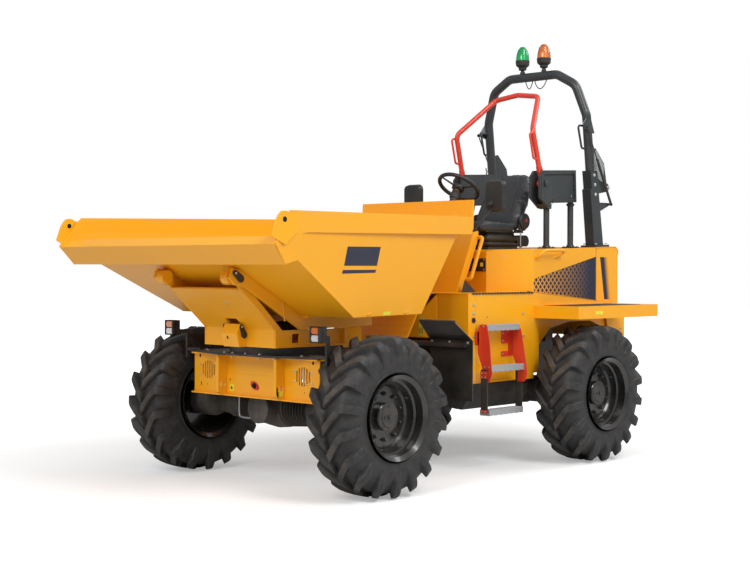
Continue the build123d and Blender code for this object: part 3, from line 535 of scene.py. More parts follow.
clear_lens = lens("clear lens", (0.95, 0.96, 0.97), 0.9)
amber_marker = lens("amber marker lens", (0.95, 0.22, 0.02), 0.25)
white_marker = lens("white marker lens", (0.85, 0.86, 0.88), 0.25)
lamp_y, lamp_z = 485, 779
mesh = bmesh.new()
bowl = [(0, 0), (0, 18), (12, 50), (30, 68), (44, 76), (46, 76), (46, 72), (31, 64), (14, 46), (3, 0)]
turned(mesh, (1426.8, lamp_y, lamp_z), (1, 0, 0), bowl, 40)
turned(mesh, (1432, lamp_y, lamp_z), (1, 0, 0), [(0, 12), (18, 12), (24, 6), (24, 0)], 20)
mirrored(mesh)
fixed("headlamp_bowls", mesh, bright, "front_frame")
mesh = bmesh.new()
turned(mesh, (1464, lamp_y, lamp_z), (1, 0, 0), [(0, 71), (4, 71), (7, 50), (8, 0)], 40)
mirrored(mesh)
fixed("headlamp_lenses", mesh, clear_lens, "front_frame")
mesh = bmesh.new()
slab(mesh, "y", rounded([(1571, 1020), (1618, 1020), (1618, 1127), (1571, 1127)], 10), 699, 795)
for low, high in ((1020, 1027), (1072, 1076), (1120, 1127)):
    bar(mesh, (1610, 1636), (699, 795), (low, high))
for low, high in ((699, 715), (777, 795)):
    bar(mesh, (1610, 1636), (low, high), (1020, 1127))
mirrored(mesh)
housing = fixed("marker_lamp_boxes", mesh, black_plastic, "front_frame", 0.002)
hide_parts("front_lamps")
markers = (("amber_markers", amber_marker, 1077, 1119), ("white_markers", white_marker, 1028, 1071))
for name, material, low, high in markers:
    mesh = bmesh.new()
    swollen = [(1616, low), (1632, low), (1638, (low + high) / 2), (1632, high), (1616, high)]
    slab(mesh, "y", swollen, 716, 776)
    mirrored(mesh)
    fixed(name, mesh, material, "front_frame", 0.002)

# ---- turret and tipping ram ---------------------------------------------------------------------
# Slewing base of welded plate, with the folded cover of the tipping ram in its front plate. Each
# pin is locked by a black flag held with one bolt; weld beads run along the ears and the cheeks.
flag_black = finish("pin flag", (0.010, 0.010, 0.011), 0.32, coat=0.2, dirt=0.06)
dress("turret", machine_yellow)
dress("tip_ram_barrel", frame_black, 0.002)
dress("steer_ram_barrel", frame_black, 0.002)
chrome = finish("hard chrome", (0.66, 0.66, 0.67), 0.10, metallic=1.0, dirt=0.0, texture=0.0)
for name in ("tip_ram_rod", "steer_ram_rod"):
    dress(name, chrome, 0)


def flag(mesh, pin, tail, y, thick, radius=24):
    """Pear-shaped plate that locks a pin, round at the pin and narrower at its bolt."""
    pin, tail = Vector(pin), Vector(tail)
    along = (tail - pin).normalized()
    square = Vector((-along.y, along.x))
    outline = []
    for k in range(13):
        a = math.pi * (k / 12 + 0.5)
        outline.append(tuple(pin + along * radius * math.cos(a) + square * radius * math.sin(a)))
    for k in range(13):
        a = math.pi * (k / 12 - 0.5)
        outline.append(tuple(tail + along * radius * 0.7 * math.cos(a) + square * radius * 0.7 * math.sin(a)))
    slab(mesh, "y", outline, y, y + thick)


def weld(name, points, body, width=5):
    """Weld bead laid along a joint, then painted over."""
    return bent_pipe(name, points, width, machine_yellow, body, 2)


mesh = bmesh.new()
flag(mesh, (1652, 1050), (1676, 1106), 80.5, 10)
flag(mesh, (1652, 1050), (1676, 1106), -90.5, 10)
fixed("ram_pin_flags", mesh, flag_black, "turret", 0.003)
mesh = bmesh.new()
bolt(mesh, (1676, 90.5, 1106), (0, 1, 0), 7)
bolt(mesh, (1676, -90.5, 1106), (0, -1, 0), 7)
bolt(mesh, (1826, 105, 1272), (0.66, 0, -0.75), 11)
fixed("turret_bolts", mesh, zinc_plate, "turret")
for s, side in sides:
    weld(f"turret_foot_weld_{side}", [(x, s * 365, 984) for x in (1600, 1300, 1010)], "turret")
    weld(f"turret_cheek_weld_{side}", [(1622, s * 82, 985), (1622, s * 82, 1090)], "turret", 4)
    edge = [(x, s * 350, z) for x, z in ((1621, 985), (1622, 1090), (1926, 1362))]
    weld(f"turret_front_weld_{side}", edge, "turret", 4)
    hose = ((1560, 24, 1062), (1500, 60, 1110), (1400, 110, 1100), (1280, 120, 1040), (1180, 60, 1000))
    hose = [(x, s * y, z) for x, y, z in hose]
    bent_pipe(f"tip_hose_{side}", hose, 9, black_plastic, "turret")

# ---- skip ---------------------------------------------------------------------------------------
# Open tub of folded sheet with box-section bands, on two channel rails that carry its hinge pins.
# Lifting lugs stand at the lip's corners. Blank navy film marks each side, over a thin stripe.
skip_yellow = finish("skip yellow", (0.91, 0.40, 0.004), 0.34, coat=0.15, dirt=0.02)
navy_film = finish("navy film", (0.010, 0.014, 0.040), 0.35, coat=0.1, dirt=0.03, texture=0.0)
dress("skip_tub", skip_yellow, 0.005, 3)
dress("skip_rails", skip_yellow)


def skip_side(x, z):
    """Outside of the skip's leaning side panel."""
    return 577 + 0.2295 * x - 0.047 * (1755 - z)


def film(mesh, outline, thick=0.7):
    """Thin sheet laid on the skip's side."""
    slab(mesh, "y", outline, skip_side, lambda x, z: skip_side(x, z) + thick)


mesh = bmesh.new()
film(mesh, [(1506, 1643), (1091, 1647), (1133, 1520), (1543, 1519)])
film(mesh, [(1556, 1492), (1140, 1494), (1151, 1474), (1563, 1468)])
mirrored(mesh)
fixed("skip_films", mesh, navy_film, "skip")
mesh = bmesh.new()
film(mesh, [(1026, 1210), (926, 1211), (934, 1186), (1028, 1186)])
mirrored(mesh)
fixed("skip_labels", mesh, label_yellow, "skip")
mesh = bmesh.new()
for x in (1210, 718):
    tab = rounded([(x + 26, 1190), (x - 24, 1204), (x - 26, 1210), (x + 24, 1197)], 4)
    slab(mesh, "y", tab, lambda a, b: skip_side(a, b) - 1, lambda a, b: skip_side(a, b) + 9)
mirrored(mesh)
fixed("skip_tabs", mesh, skip_yellow, "skip", 0.002)
mesh = bmesh.new()
lug = [(2346, 1690), (2304, 1800), (2270, 1842), (2222, 1846), (2172, 1822), (2102, 1752), (2232, 1640)]
edge_y = 1098
slab(mesh, "y", rounded(lug, 16), edge_y, edge_y + 14)
mirrored(mesh)
fixed("lifting_lugs", mesh, skip_yellow, "skip", 0.003)
# A black disc over each lug's eye is painted shade where the hole is.
mesh = bmesh.new()
slab(mesh, "y", ellipse(2242, 1793, 17, 17, 20), edge_y - 0.5, edge_y + 14.5)
mirrored(mesh)
fixed("lifting_lug_eye_shades", mesh, socket_black_and_hole_shade, "skip")
for side, y in (("left", 396), ("right", -408)):
    mesh = bmesh.new()
    flag(mesh, (1962, 1434), (2010, 1472), y, 12, 26)
    fixed(f"hinge_flag_{side}", mesh, flag_black, "skip", 0.003)
mesh = bmesh.new()
bolt(mesh, (2008, 408, 1470), (0, 1, 0), 7)
mirrored(mesh)
fixed("hinge_flag_bolts", mesh, zinc_plate, "skip")
for s, side in sides:
    rail_edge = [(1592, s * 398, 1278), (1580, s * 398, 1200), (1572, s * 398, 1150)]
    weld(f"skip_rail_weld_{side}", rail_edge, "skip", 5)
    weld(f"skip_floor_weld_{side}", [(x, s * 397, 1180) for x in (1395, 1060, 725)], "skip", 4)

# ---- mudflaps -----------------------------------------------------------------------------------
# Black sheet flaps on arms of the front frame, behind the front wheels. The top is bent forward
# over the tyre, and three plated bolts along the fold hold each flap to its arm.
black_sheet = finish("black sheet", (0.010, 0.010, 0.010), 0.38, coat=0.15, dirt=0.12)
dress("mudflaps", black_sheet, 0.002)
mesh = bmesh.new()
for y in (757, 918, 1082):
    bolt(mesh, (478, y, 992), (-1, 0, 0), 9)
    bolt(mesh, (486.2, y, 992), (1, 0, 0), 9)
mirrored(mesh)
fixed("mudflap_bolts", mesh, zinc_plate, "front_frame")

# ---- side boxes and platform --------------------------------------------------------------------
# Bolted boxes of folded sheet under the driver's chequered platform, with folded nose panels before
# them and arch panels behind. The platform's edge wears a black serrated grip strip; a ring plug
# closes one side's hole, and a blank yellow label marks the pivot.
box_y = 670
dress("side_boxes", machine_yellow)
grip_black = finish("grip strip", (0.014, 0.014, 0.014), 0.7, dirt=0.25, texture=0.6, scale=300)

platform = machine_yellow.copy()
platform.name = "chequer platform"
tree = platform.node_tree
chequers = []
for angle in (45, -45):
    turned_place = {"Vector": own_place(tree), "Rotation": (0, 0, math.radians(angle)), "Scale": (26, 62, 1)}
    cells = {"Vector": wired(tree, "Mapping", "Vector", turned_place), "Scale": 1, "Randomness": 0}
    bead = {"From Min": 0.20, "From Max": 0.32, "To Min": 1, "To Max": 0}
    bead["Value"] = wired(tree, "TexVoronoi", "Distance", cells)
    chequers.append(wired(tree, "MapRange", "Result", bead))
raised = product(tree, chequers[0], chequers[1], "MAXIMUM")
bump = next(n for n in tree.nodes if n.type == "BUMP")
supply(tree, bump, {"Height": raised, "Strength": 0.6})
dress("footplate", platform, 0.0015)

mesh = bmesh.new()
for x, z in ((-86, 1234), (-86, 1170), (-90, 1000), (-696, 1158), (-696, 987)):
    bolt(mesh, (x, box_y, z), (0, 1, 0), 10)
for x in (-180, -420, -660):
    turned(mesh, (x, 668, 1308), (0, 1, 0), [(0, 9), (4, 8), (6, 5), (6, 0)], 16)
mirrored(mesh)
for x, y in ((30, -200), (30, -80), (30, 80), (30, 200)):
    turned(mesh, (x, y, 1320), (0, 0, 1), [(0, 10), (4, 9), (6, 6), (6, 0)], 16)
fixed("side_box_bolts", mesh, zinc_plate, "rear_frame")
mesh = bmesh.new()
arch = [
    (-792, 1212), (-792, 700), (-850, 700), (-930, 900), (-1080, 1030),
    (-1350, 1080), (-1650, 1080), (-1900, 1000), (-1990, 1000), (-1990, 1212),
]
slab(mesh, "y", arch, 640, 645)
slab(mesh, "y", [(-88, 656), (-700, 656), (-700, 664), (-88, 664)], 668, 678)
bar(mesh, (-112, -110), (669, 671.5), (694, 1308))
mirrored(mesh)
fixed("arch_panels", mesh, machine_yellow, "rear_frame", 0.001)
mesh = bmesh.new()
turned(mesh, (-84, box_y, 1121), (0, 1, 0), [(0, 20), (7, 20), (9, 17), (9, 9), (5, 8), (5, 0)], 28)
turned(mesh, (-250, box_y, 1140), (0, 1, 0), [(0, 5), (1, 5), (1, 0)], 12)
fixed("ring_plug", mesh, black_plastic, "rear_frame")
lip = [(660, 1320), (674, 1320), (674, 1311), (676.5, 1311), (676.5, 1324), (660, 1324)]
mesh = bmesh.new()
for i in range(21):
    x = -70 - i * 36
    slab(mesh, "x", lip, x - 26, x)
mirrored(mesh)
fixed("platform_grips", mesh, grip_black, "rear_frame")
mesh = bmesh.new()
for s in (-1, 1):
    wall = [(-20, s * 366, 982), (-4, s * 250, 982), (-4, s * 250, 1199), (-20, s * 366, 1310)]
    inner = [(x - 8, y, z) for x, y, z in wall]
    front, back = [mesh.verts.new(spot(*p)) for p in wall], [mesh.verts.new(spot(*p)) for p in inner]
    mesh.faces.new(front)
    mesh.faces.new(back[::-1])
    for i in range(4):
        mesh.faces.new((front[i - 1], front[i], back[i], back[i - 1]))
slab(mesh, "x", [(-255, 982), (255, 982), (255, 1199), (-255, 1199)], -12, -3)
slab(mesh, "y", [(-4, 1195), (-4, 1203), (-84, 1311), (-90, 1305)], -252, 252)
fixed("nose_panels", mesh, machine_yellow, "rear_frame", 0.001)
mesh = bmesh.new()
slab(mesh, "x", rounded([(203, 994), (249, 994), (249, 1156), (203, 1156)], 4), -3, -2.2)
fixed("pivot_label", mesh, label_yellow, "rear_frame")
mesh = bmesh.new()
for y in (213, 236):
    slab(mesh, "x", rounded([(y, 1010), (y + 8, 1014), (y + 8, 1060), (y, 1056)], 3), -2.2, -1.9)
fixed("pivot_label_print", mesh, label_ink, "rear_frame")

# ---- engine cover, cowl and rear body -----------------------------------------------------------
# Hinged cover of folded sheet over the engine with the radiator cowl behind it, on the lower body.
# Blank navy film with a fading wire pattern runs back along the cover and onto the cowl's strip.
cover_y, cowl_back = 600, -2122
for name in ("engine_cover", "rear_cowl", "rear_body"):
    dress(name, machine_yellow)
film_navy, film_yellow = (0.010, 0.014, 0.040, 1), (0.86, 0.38, 0.02, 1)
fading, tree, shader = blank("fading film")
along = wired(tree, "SeparateXYZ", "X", {"Vector": own_place(tree)})
toward = spread(tree, along, spot(-1700, 0, 0).x, spot(-960, 0, 0).x)
turned_place = {"Vector": own_place(tree), "Rotation": (0, math.radians(45), 0)}
across = wired(tree, "Mapping", "Vector", turned_place)
wires = []
for direction in "XZ":
    wave = {"Vector": across, "Scale": 8, "Distortion": 0}
    wire = wired(tree, "TexWave", "Fac", wave, bands_direction=direction)
    wires.append(spread(tree, wire, 0.72, 0.84))
shown_wires = product(tree, product(tree, wires[0], wires[1], "MAXIMUM"), toward)
supply(tree, shader, {
    "Base Color": mixed(tree, shown_wires, film_navy, (0.78, 0.34, 0.02, 1)),
    "Roughness": mixed(tree, noise(tree, 30, 3, 0.3, 0.8), 0.30, 0.40, "FLOAT"),
})
fade_out, tree, shader = blank("fade-out film")
slant = 0.151  # the strip leans back, and the fade with it
turned_place = {"Vector": own_place(tree), "Rotation": (0, -slant, 0)}
leaning = wired(tree, "SeparateXYZ", "X", {"Vector": wired(tree, "Mapping", "Vector", turned_place)})
rear, front = (0.9886 * spot(x, 0, 0).x - 0.1503 * 1.603 for x in (-1962, -1905))
supply(tree, shader, {
    "Base Color": mixed(tree, spread(tree, leaning, rear, front), film_yellow, film_navy),
    "Roughness": 0.32,
})
# Painted shade: flat black for the shadow in the gaps along the cover's edges.
gap_shade_black = finish("painted gap shade", (0.008, 0.008, 0.008), 0.6, dirt=0.1)

mesh = bmesh.new()
slab(mesh, "y", [(-925, 1425), (-932, 1326), (-1790, 1244), (-1790, 1606)], cover_y - 0.5, cover_y + 0.8)
mirrored(mesh)
fixed("cover_films", mesh, fading, "rear_frame")
mesh = bmesh.new()
slab(mesh, "y", [(-1855, 1604), (-1970, 1603), (-2024, 1248), (-1920, 1249)], cover_y - 0.5, cover_y + 0.8)
mirrored(mesh)
fixed("cowl_films", mesh, fade_out, "rear_frame")
# Thin black strips along the cover's edges are painted shade in the gaps between cover, cowl and lower body.
mesh = bmesh.new()
slab(mesh, "y", [(-1797, 1240), (-1793, 1240), (-1793, 1680), (-1797, 1680)], 598, 600.4)
slab(mesh, "y", [(-842, 1322), (-842, 1329), (-1796, 1240), (-1796, 1233)], 598, 601)
under_cowl = [(-1797, 1240), (-1797, 1233), (-1850, 1227), (-2121, 1201), (-2121, 1207), (-1850, 1233)]
slab(mesh, "y", under_cowl, 598, 601)
mirrored(mesh)
fixed("cover_gap_shades", mesh, gap_shade_black, "rear_frame")
# Black slots under the louvres are painted shade in the vent openings.
vent_shades, louvres = bmesh.new(), bmesh.new()
for z in range(1300, 1605, 38):
    vent = rounded([(-420, z), (420, z), (420, z + 20), (-420, z + 20)], 9)
    slab(vent_shades, "x", vent, cowl_back - 0.5, cowl_back + 0.2)
    hood = [(cowl_back, z + 20), (cowl_back - 10, z + 8), (cowl_back - 10, z + 5), (cowl_back, z + 16)]
    slab(louvres, "y", hood, -424, 424)
fixed("cowl_vent_shades", vent_shades, socket_black_and_hole_shade, "rear_frame")
fixed("cowl_louvres", louvres, machine_yellow, "rear_frame")
mesh = bmesh.new()
cap = [
    (-1792, 1685), (-2086, 1697), (-2128, 1662), (-2128, 1628),
    (-2122.4, 1628), (-2122.4, 1662), (-2084, 1692), (-1792, 1679),
]
slab(mesh, "y", cap, -604, 604)
fixed("cowl_cap", mesh, machine_yellow, "rear_frame", 0.002)
mesh = bmesh.new()
for x, z in ((-1130, 1210), (-1500, 1210), (-1900, 1180), (-2060, 1160), (-2060, 1000)):
    bolt(mesh, (x, box_y, z), (0, 1, 0), 9)
for x, z in ((-700, 1600), (-930, 1640), (-930, 1350)):
    bolt(mesh, (x, 600 if x < -920 else 430 + (-640 - x) * 0.6, z), (0, 1, 0), 6)
mirrored(mesh)
for y in (-500, 500):
    for z in (1250, 1640):
        bolt(mesh, (cowl_back, y, z), (-1, 0, 0), 9)
fixed("body_bolts", mesh, zinc_plate, "rear_frame")
grab = [
    (-950, 592, 1590), (-945, 640, 1600), (-985, 655, 1650), (-1100, 655, 1652),
    (-1275, 655, 1654), (-1262, 640, 1622), (-1200, 592, 1594),
]
for s, side in sides:
    bent = [(x, s * y, z) for x, y, z in grab]
    bent_pipe(f"cover_handle_{side}", bent, 11, machine_yellow, "rear_frame")
exhaust = finish("exhaust steel", (0.20, 0.19, 0.18), 0.5, metallic=0.8, dirt=0.3, texture=0.2)
mesh = bmesh.new()
tail = [(0, 44), (8, 44), (8, 30), (42, 30), (42, 27), (10, 27), (9, 0)]
turned(mesh, (-2119, 330, 1090), (-1, 0, 0), tail)
fixed("exhaust_tail", mesh, exhaust, "rear_frame")

# ---- fenders ------------------------------------------------------------------------------------
# Folded tray mudguards bolted to the lower body. Each carries a black gritted tread mat, and a
# blank label on its folded lip; zinc-plated bolts run along its inner edge.
fender_y = 1085
dress("fenders", machine_yellow)
mesh = bmesh.new()
mat = rounded([(-900, 706), (-1800, 706), (-1800, 1040), (-900, 1040)], 20)
slab(mesh, "z", mat, 1217, 1219)
mirrored(mesh)
fixed("fender_mats", mesh, grip_black, "rear_frame")
mesh = bmesh.new()
label = rounded([(-1070, 1152), (-1172, 1152), (-1172, 1178), (-1070, 1178)], 3)
slab(mesh, "y", label, fender_y, fender_y + 0.7)
mirrored(mesh)
fixed("fender_labels", mesh, label_yellow, "rear_frame")
mesh = bmesh.new()
for x in (-900, -1300, -1700, -1930):
    bolt(mesh, (x, 690, 1217), (0, 0, 1), 9)
mirrored(mesh)
fixed("fender_bolts", mesh, zinc_plate, "rear_frame")

# ---- steps --------------------------------------------------------------------------------------
# Red pressed hangers bolted to the side box carry two galvanised treads with serrated edges. The
# lowest tread hangs on rubber straps held by red clamp plates, so that it gives way to a rock.
safety_red = finish("safety red", (0.70, 0.045, 0.018), 0.32, coat=0.25, dirt=0.03)
galvanised = finish(
    "galvanised sheet", (0.52, 0.54, 0.56), 0.42, metallic=0.75, dirt=0.18, texture=0.25, scale=60,
)
black_rubber = finish("black rubber", (0.012, 0.012, 0.012), 0.6, dirt=0.15, texture=0.1)
mesh = bmesh.new()
front = [
    (712, 1091), (784, 1093), (811, 957), (825, 796), (835, 734),
    (808, 662), (741, 672), (754, 743), (699, 875), (694, 1037),
]
rear = [
    (705, 1054), (791, 1057), (819, 913), (846, 770), (851, 713),
    (829, 653), (757, 649), (766, 722), (706, 879),
]
slab(mesh, "x", rounded(front, 12), -106, -100)
slab(mesh, "x", rounded(rear, 12), -510, -504)
for x, reach in ((-106, -1), (-504, 1)):
    for y, z in ((758, 1072), (790, 770)):
        bar(mesh, sorted((x, x + reach * 22)), (y - 40, y + 22), (z - 4, z + 2))
for front_x, rear_x, low, high in ((-419, -510, 936, 1038), (-415, -510, 839, 878), (-100, -190, 936, 1038)):
    ear = rounded([(front_x, low), (rear_x, low), (rear_x, high), (front_x, high)], 8)
    slab(mesh, "y", ear, box_y + 0.5, box_y + 6)
bar(mesh, (-106, -100), (670.5, 712), (936, 1038))
bar(mesh, (-510, -504), (670.5, 712), (839, 1038))
mirrored(mesh)
hangers = fixed("step_hangers", mesh, safety_red, "rear_frame", 0.0012)
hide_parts("step_rails")
dress("step_treads", galvanised, 0.0015)
dress("step_straps", black_rubber, 0.002)
crown = [(0, 10), (4, 7), (4, 5), (1, 4.5), (1, 0)]
mesh = bmesh.new()
for y, top, reach in ((780, 1085, 6), (826, 785, 6), (812, 462, 12)):
    teeth = [(-112 + reach, y - 8)]
    for i in range(24):
        x = -112 - i * (386 / 24)
        teeth += [(x - 2, y - 2), (x - 8, y + 4), (x - 14, y - 2)]
    teeth.append((-504, y - 8))
    slab(mesh, "z", teeth, top, top + 5)
    for i in range(2):
        row = y - 34 - 30 * i
        for k in range(11):
            turned(mesh, (-135 - 34 * k, row, top), (0, 0, 1), crown, 12)
mirrored(mesh)
fixed("tread_teeth", mesh, galvanised, "rear_frame")
mesh = bmesh.new()
for x, z in ((-436, 1016), (-436, 958), (-430, 858), (-170, 1016), (-170, 958)):
    bolt(mesh, (x, 676, z), (0, 1, 0), 8)
for x, reach in ((-106, 1), (-504, -1)):
    for y, z in ((708, 1078), (752, 1078), (764, 778), (806, 778)):
        bolt(mesh, (x + reach * 6, y, z), (reach, 0, 0), 7)
for x, reach in ((-89.7, 1), (-520.3, -1)):
    for z in (735, 705, 452):
        for y in (752, 784):
            bolt(mesh, (x + reach * 5, y, z), (reach, 0, 0), 6)
mirrored(mesh)
fixed("step_bolts", mesh, zinc_plate, "rear_frame")
mesh = bmesh.new()
for x, reach in ((-89.7, 1), (-520.3, -1)):
    for low, high in ((694, 748), (440, 464)):
        bar(mesh, sorted((x, x + reach * 5)), (736, 800), (low, high))
mirrored(mesh)
fixed("strap_clamps", mesh, safety_red, "rear_frame", 0.002)

# ---- dash tower and steering --------------------------------------------------------------------
# Folded dash tower with a black instrument head, bent grab tubes and a black riser at its foot.
# The steering wheel has a moulded grip over three flat steel spokes, and a spinner knob.
dress("console", machine_yellow)
dress("grab_handles", machine_yellow, 0)
grip_vinyl = finish("moulded grip", (0.012, 0.012, 0.013), 0.42, dirt=0.05, texture=0.25, scale=500)
tower = [(-330, 1324), (-540, 1788), (-560, 1788), (-398, 1324)]
mesh = bmesh.new()
slab(mesh, "y", tower, 300, 301.5)
mirrored(mesh)
fixed("tower_strips", mesh, machine_yellow, "rear_frame")
mesh = bmesh.new()
head = [(-542, 1790), (-600, 1800), (-640, 1860), (-632, 1905), (-560, 1886), (-536, 1830)]
slab(mesh, "y", rounded(head, 14), -200, 200)
fixed("instrument_head", mesh, black_plastic, "rear_frame", 0.006)
mesh = bmesh.new()
for k, y in enumerate((-150, -110, -70, 70, 110, 150)):
    turned(mesh, (-634 - 3, y, 1880), (-0.93, 0, -0.2), [(0, 15), (4, 15), (5, 12), (5, 0)], 20)
fixed("switches", mesh, bright, "rear_frame")
mesh = bmesh.new()
turned(mesh, (-654, 0, 2068), (-34.5, 0, 49), [(0, 36), (60, 36), (68, 32), (68, 0)])
boot = [(0, 60), (150, 52), (158, 40), (300, 34), (310, 31), (400, 31)]
turned(mesh, (-530, 0, 1740), (-140, 0, 352), boot)
fixed("column_boot", mesh, black_rubber, "rear_frame")
tilt = math.radians(35)
hub = Vector((-704, 0, 2140))
lean = Matrix.Rotation(-tilt, 3, "Y")


def on_wheel(x, y, z):
    """A place on the leaning steering wheel, whose own axis is z."""
    return tuple(hub + lean @ Vector((x, y, z)))


mesh = bmesh.new()
around, section = 60, 12
loops = []
for k in range(around):
    a = 2 * math.pi * k / around
    loop = []
    for j in range(section):
        b = 2 * math.pi * j / section
        grip = 16 + (0.9 if k % 2 and j in (4, 5, 6, 7, 8) else 0)
        r, rise = 165 + grip * math.cos(b), 27 + grip * math.sin(b)
        loop.append(mesh.verts.new(spot(*on_wheel(r * math.cos(a), r * math.sin(a), rise))))
    loops.append(loop)
for k in range(around):
    for j in range(section):
        mesh.faces.new((loops[k - 1][j - 1], loops[k - 1][j], loops[k][j], loops[k][j - 1]))
axis = lean @ Vector((0, 0, 1))
turned(mesh, on_wheel(0, 0, -8), axis, [(0, 34), (10, 50), (30, 52), (38, 44), (42, 30), (42, 0)], 32)
knob = on_wheel(-150, 70, 34)
turned(mesh, knob, axis, [(0, 8), (12, 8), (14, 17), (24, 21), (36, 21), (46, 14), (49, 0)], 24)
wheel_grip = fixed("steering_grip", mesh, grip_vinyl, "steering_wheel", 0, 60)
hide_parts("steering_wheel")
mesh = bmesh.new()
for turn in (90, 210, 330):
    a = math.radians(turn)
    ahead, aside = Vector((math.cos(a), math.sin(a), 0)), Vector((-math.sin(a), math.cos(a), 0))
    rim_points = [(30, 14, 22), (150, 8, 27), (158, 8, 28), (158, -8, 28), (150, -8, 27), (30, -14, 22)]
    top, low = [], []
    for r, w, h in rim_points:
        for skin, level in ((top, h), (low, h - 5)):
            place = on_wheel(*(ahead * r + aside * w + Vector((0, 0, level))))
            skin.append(mesh.verts.new(spot(*place)))
    mesh.faces.new(top)
    mesh.faces.new(low[::-1])
    for i in range(6):
        mesh.faces.new((top[i - 1], top[i], low[i], low[i - 1]))
fixed("steering_spokes", mesh, frame_black, "steering_wheel")
mesh = bmesh.new()
slab(mesh, "x", rounded([(-345, 1482), (345, 1482), (345, 1584), (-345, 1584)], 8), -640, -634)
fixed("riser_panel", mesh, black_plastic, "rear_frame", 0.002)
mesh = bmesh.new()
for y in (236, 330):
    for z in (1496, 1572):
        bolt(mesh, (-634, y, z), (1, 0, 0), 6)
mirrored(mesh)
fixed("riser_screws", mesh, zinc_plate, "rear_frame")
mesh = bmesh.new()
slab(mesh, "x", rounded([(292, 1520), (322, 1520), (322, 1552), (292, 1552)], 5), -634, -633.2)
fixed("riser_label", mesh, label_yellow, "rear_frame")
mesh = bmesh.new()
slab(mesh, "y", [(-352, 1416), (-488, 1321), (-312, 1321)], 366, 372)
mirrored(mesh)
fixed("tower_gussets", mesh, frame_black, "rear_frame", 0.001)

# ---- seat ---------------------------------------------------------------------------------------
# Sprung driver's seat in black vinyl: foam pads with raised bolsters and sewn seams, on a slide
# frame over a ribbed bellows. A round recliner cover and a plated lever stand at its left.
seat_vinyl = finish("seat vinyl", (0.022, 0.026, 0.030), 0.42, coat=0.05, dirt=0.04, texture=0.35, scale=900)
press, give = 3.5, 0.010  # pressure in the foam, and how far the cover may swell in metres
dress("seat_base", black_plastic, 0.003)


def applied(piece):
    """Turns a piece's modifiers into its own mesh."""
    graph = bpy.context.evaluated_depsgraph_get()
    data = bpy.data.meshes.new_from_object(piece.evaluated_get(graph))
    piece.modifiers.clear()
    piece.data = data


def stuffed(name, mesh, node_name):
    """Foam pad under a tight cover: the closed shape is blown up a little and its skin smoothed."""
    bmesh.ops.recalc_face_normals(mesh, faces=mesh.faces[:])
    data = bpy.data.meshes.new(name)
    mesh.to_mesh(data)
    mesh.free()
    data.materials.append(seat_vinyl)
    pad = shown(name, data)
    remesh = pad.modifiers.new("skin", "REMESH")
    remesh.mode = "VOXEL"
    remesh.voxel_size = 0.006
    relax = pad.modifiers.new("relaxed", "SMOOTH")
    relax.iterations = 8
    applied(pad)
    before = [v.co.copy() for v in pad.data.vertices]
    cover = pad.modifiers.new("cover", "CLOTH")
    cover.settings.use_pressure = True
    cover.settings.uniform_pressure_force = press
    cover.settings.effector_weights.gravity = 0
    cover.settings.quality = 4
    cover.point_cache.frame_start, cover.point_cache.frame_end = 1, 20
    for step in range(1, 21):
        bpy.context.scene.frame_set(step)
    applied(pad)
    for vertex, start in zip(pad.data.vertices, before):
        move = vertex.co - start
        if move.length > give:
            vertex.co = start + move.normalized() * give
    bpy.context.scene.frame_set(1)
    finer = pad.modifiers.new("finer", "SUBSURF")
    finer.levels = finer.render_levels = 1
    applied(pad)
    for face in pad.data.polygons:
        face.use_smooth = True
    mounted(pad, "rear_frame")
    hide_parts(node_name)
    return pad


def hull(mesh, rings):
    """Closed form through rings of points in the drawing."""
    loops = [[mesh.verts.new(spot(*p)) for p in ring] for ring in rings]
    for a, b in zip(loops, loops[1:]):
        for k in range(len(a)):
            mesh.faces.new((a[k - 1], a[k], b[k], b[k - 1]))
    mesh.faces.new(loops[0])
    mesh.faces.new(loops[-1][::-1])


mesh = bmesh.new()
rings = []
for y, pinch in ((-236, 26), (-222, 8), (-160, 0), (0, 4), (160, 0), (222, 8), (236, 26)):
    bolster = (20 if abs(y) > 190 else 0) - pinch * 0.7
    front, rear = -712 - pinch, -1182 + pinch
    outline = [
        (front, 1838 - pinch * 0.2), (front - 6, 1862), (-770, 1878 - pinch * 0.6),
        (-900, 1862 + bolster), (-1060, 1858 + bolster), (rear + 6, 1872 - pinch * 0.6),
        (rear, 1830), (rear + 12, 1816), (front - 28, 1816),
    ]
    rings.append([(x, y, z) for x, z in outline])
hull(mesh, rings)
pad = stuffed("seat_pad", mesh, "seat_cushion")

mesh = bmesh.new()
rings = []
# height, half width, front and rear of the backrest
levels = (
    (1822, 200, -1192, -1262), (1840, 226, -1190, -1284), (1930, 240, -1206, -1330),
    (2040, 236, -1262, -1400), (2150, 214, -1330, -1462), (2230, 186, -1392, -1508),
    (2280, 150, -1440, -1528), (2302, 96, -1474, -1524),
)
for z, half, front, rear in levels:
    depth = rear - front
    wrap = [(front + 6, 0.82), (front + depth * 0.3, 1), (rear - depth * 0.25, 0.94), (rear, 0.7)]
    ring = [(front - 10, half * part) for part in (-0.5, 0, 0.5)]
    ring += [(x, half * part) for x, part in wrap] + [(rear, 0)]
    ring += [(x, -half * part) for x, part in reversed(wrap)]
    rings.append([(x, y, z) for x, y in ring])
hull(mesh, rings)
backrest = stuffed("seat_backrest", mesh, "seat_back")

seam_thread = finish("seam cord", (0.006, 0.006, 0.007), 0.5, dirt=0.0, texture=0.1)


def laid_on(target, points, out, lift):
    """Points pushed back along one direction until they lie on a pad."""
    out = Vector(out)
    into = target.matrix_world.inverted()
    placed = []
    for point in points:
        start = spot(*point)
        hit, where, _, _ = target.ray_cast(into @ (start + out * 0.25), -out, distance=0.6)
        placed.append((target.matrix_world @ where) + out * lift / 1000 if hit else start)
    return placed


def seam(name, places, radius=2.2):
    """Piping or a sewn channel laid on a pad."""
    points = [((p.x - datum_x) * 1000, p.y * 1000, p.z * 1000) for p in places]
    return bent_pipe(name, points, radius, seam_thread, "rear_frame")


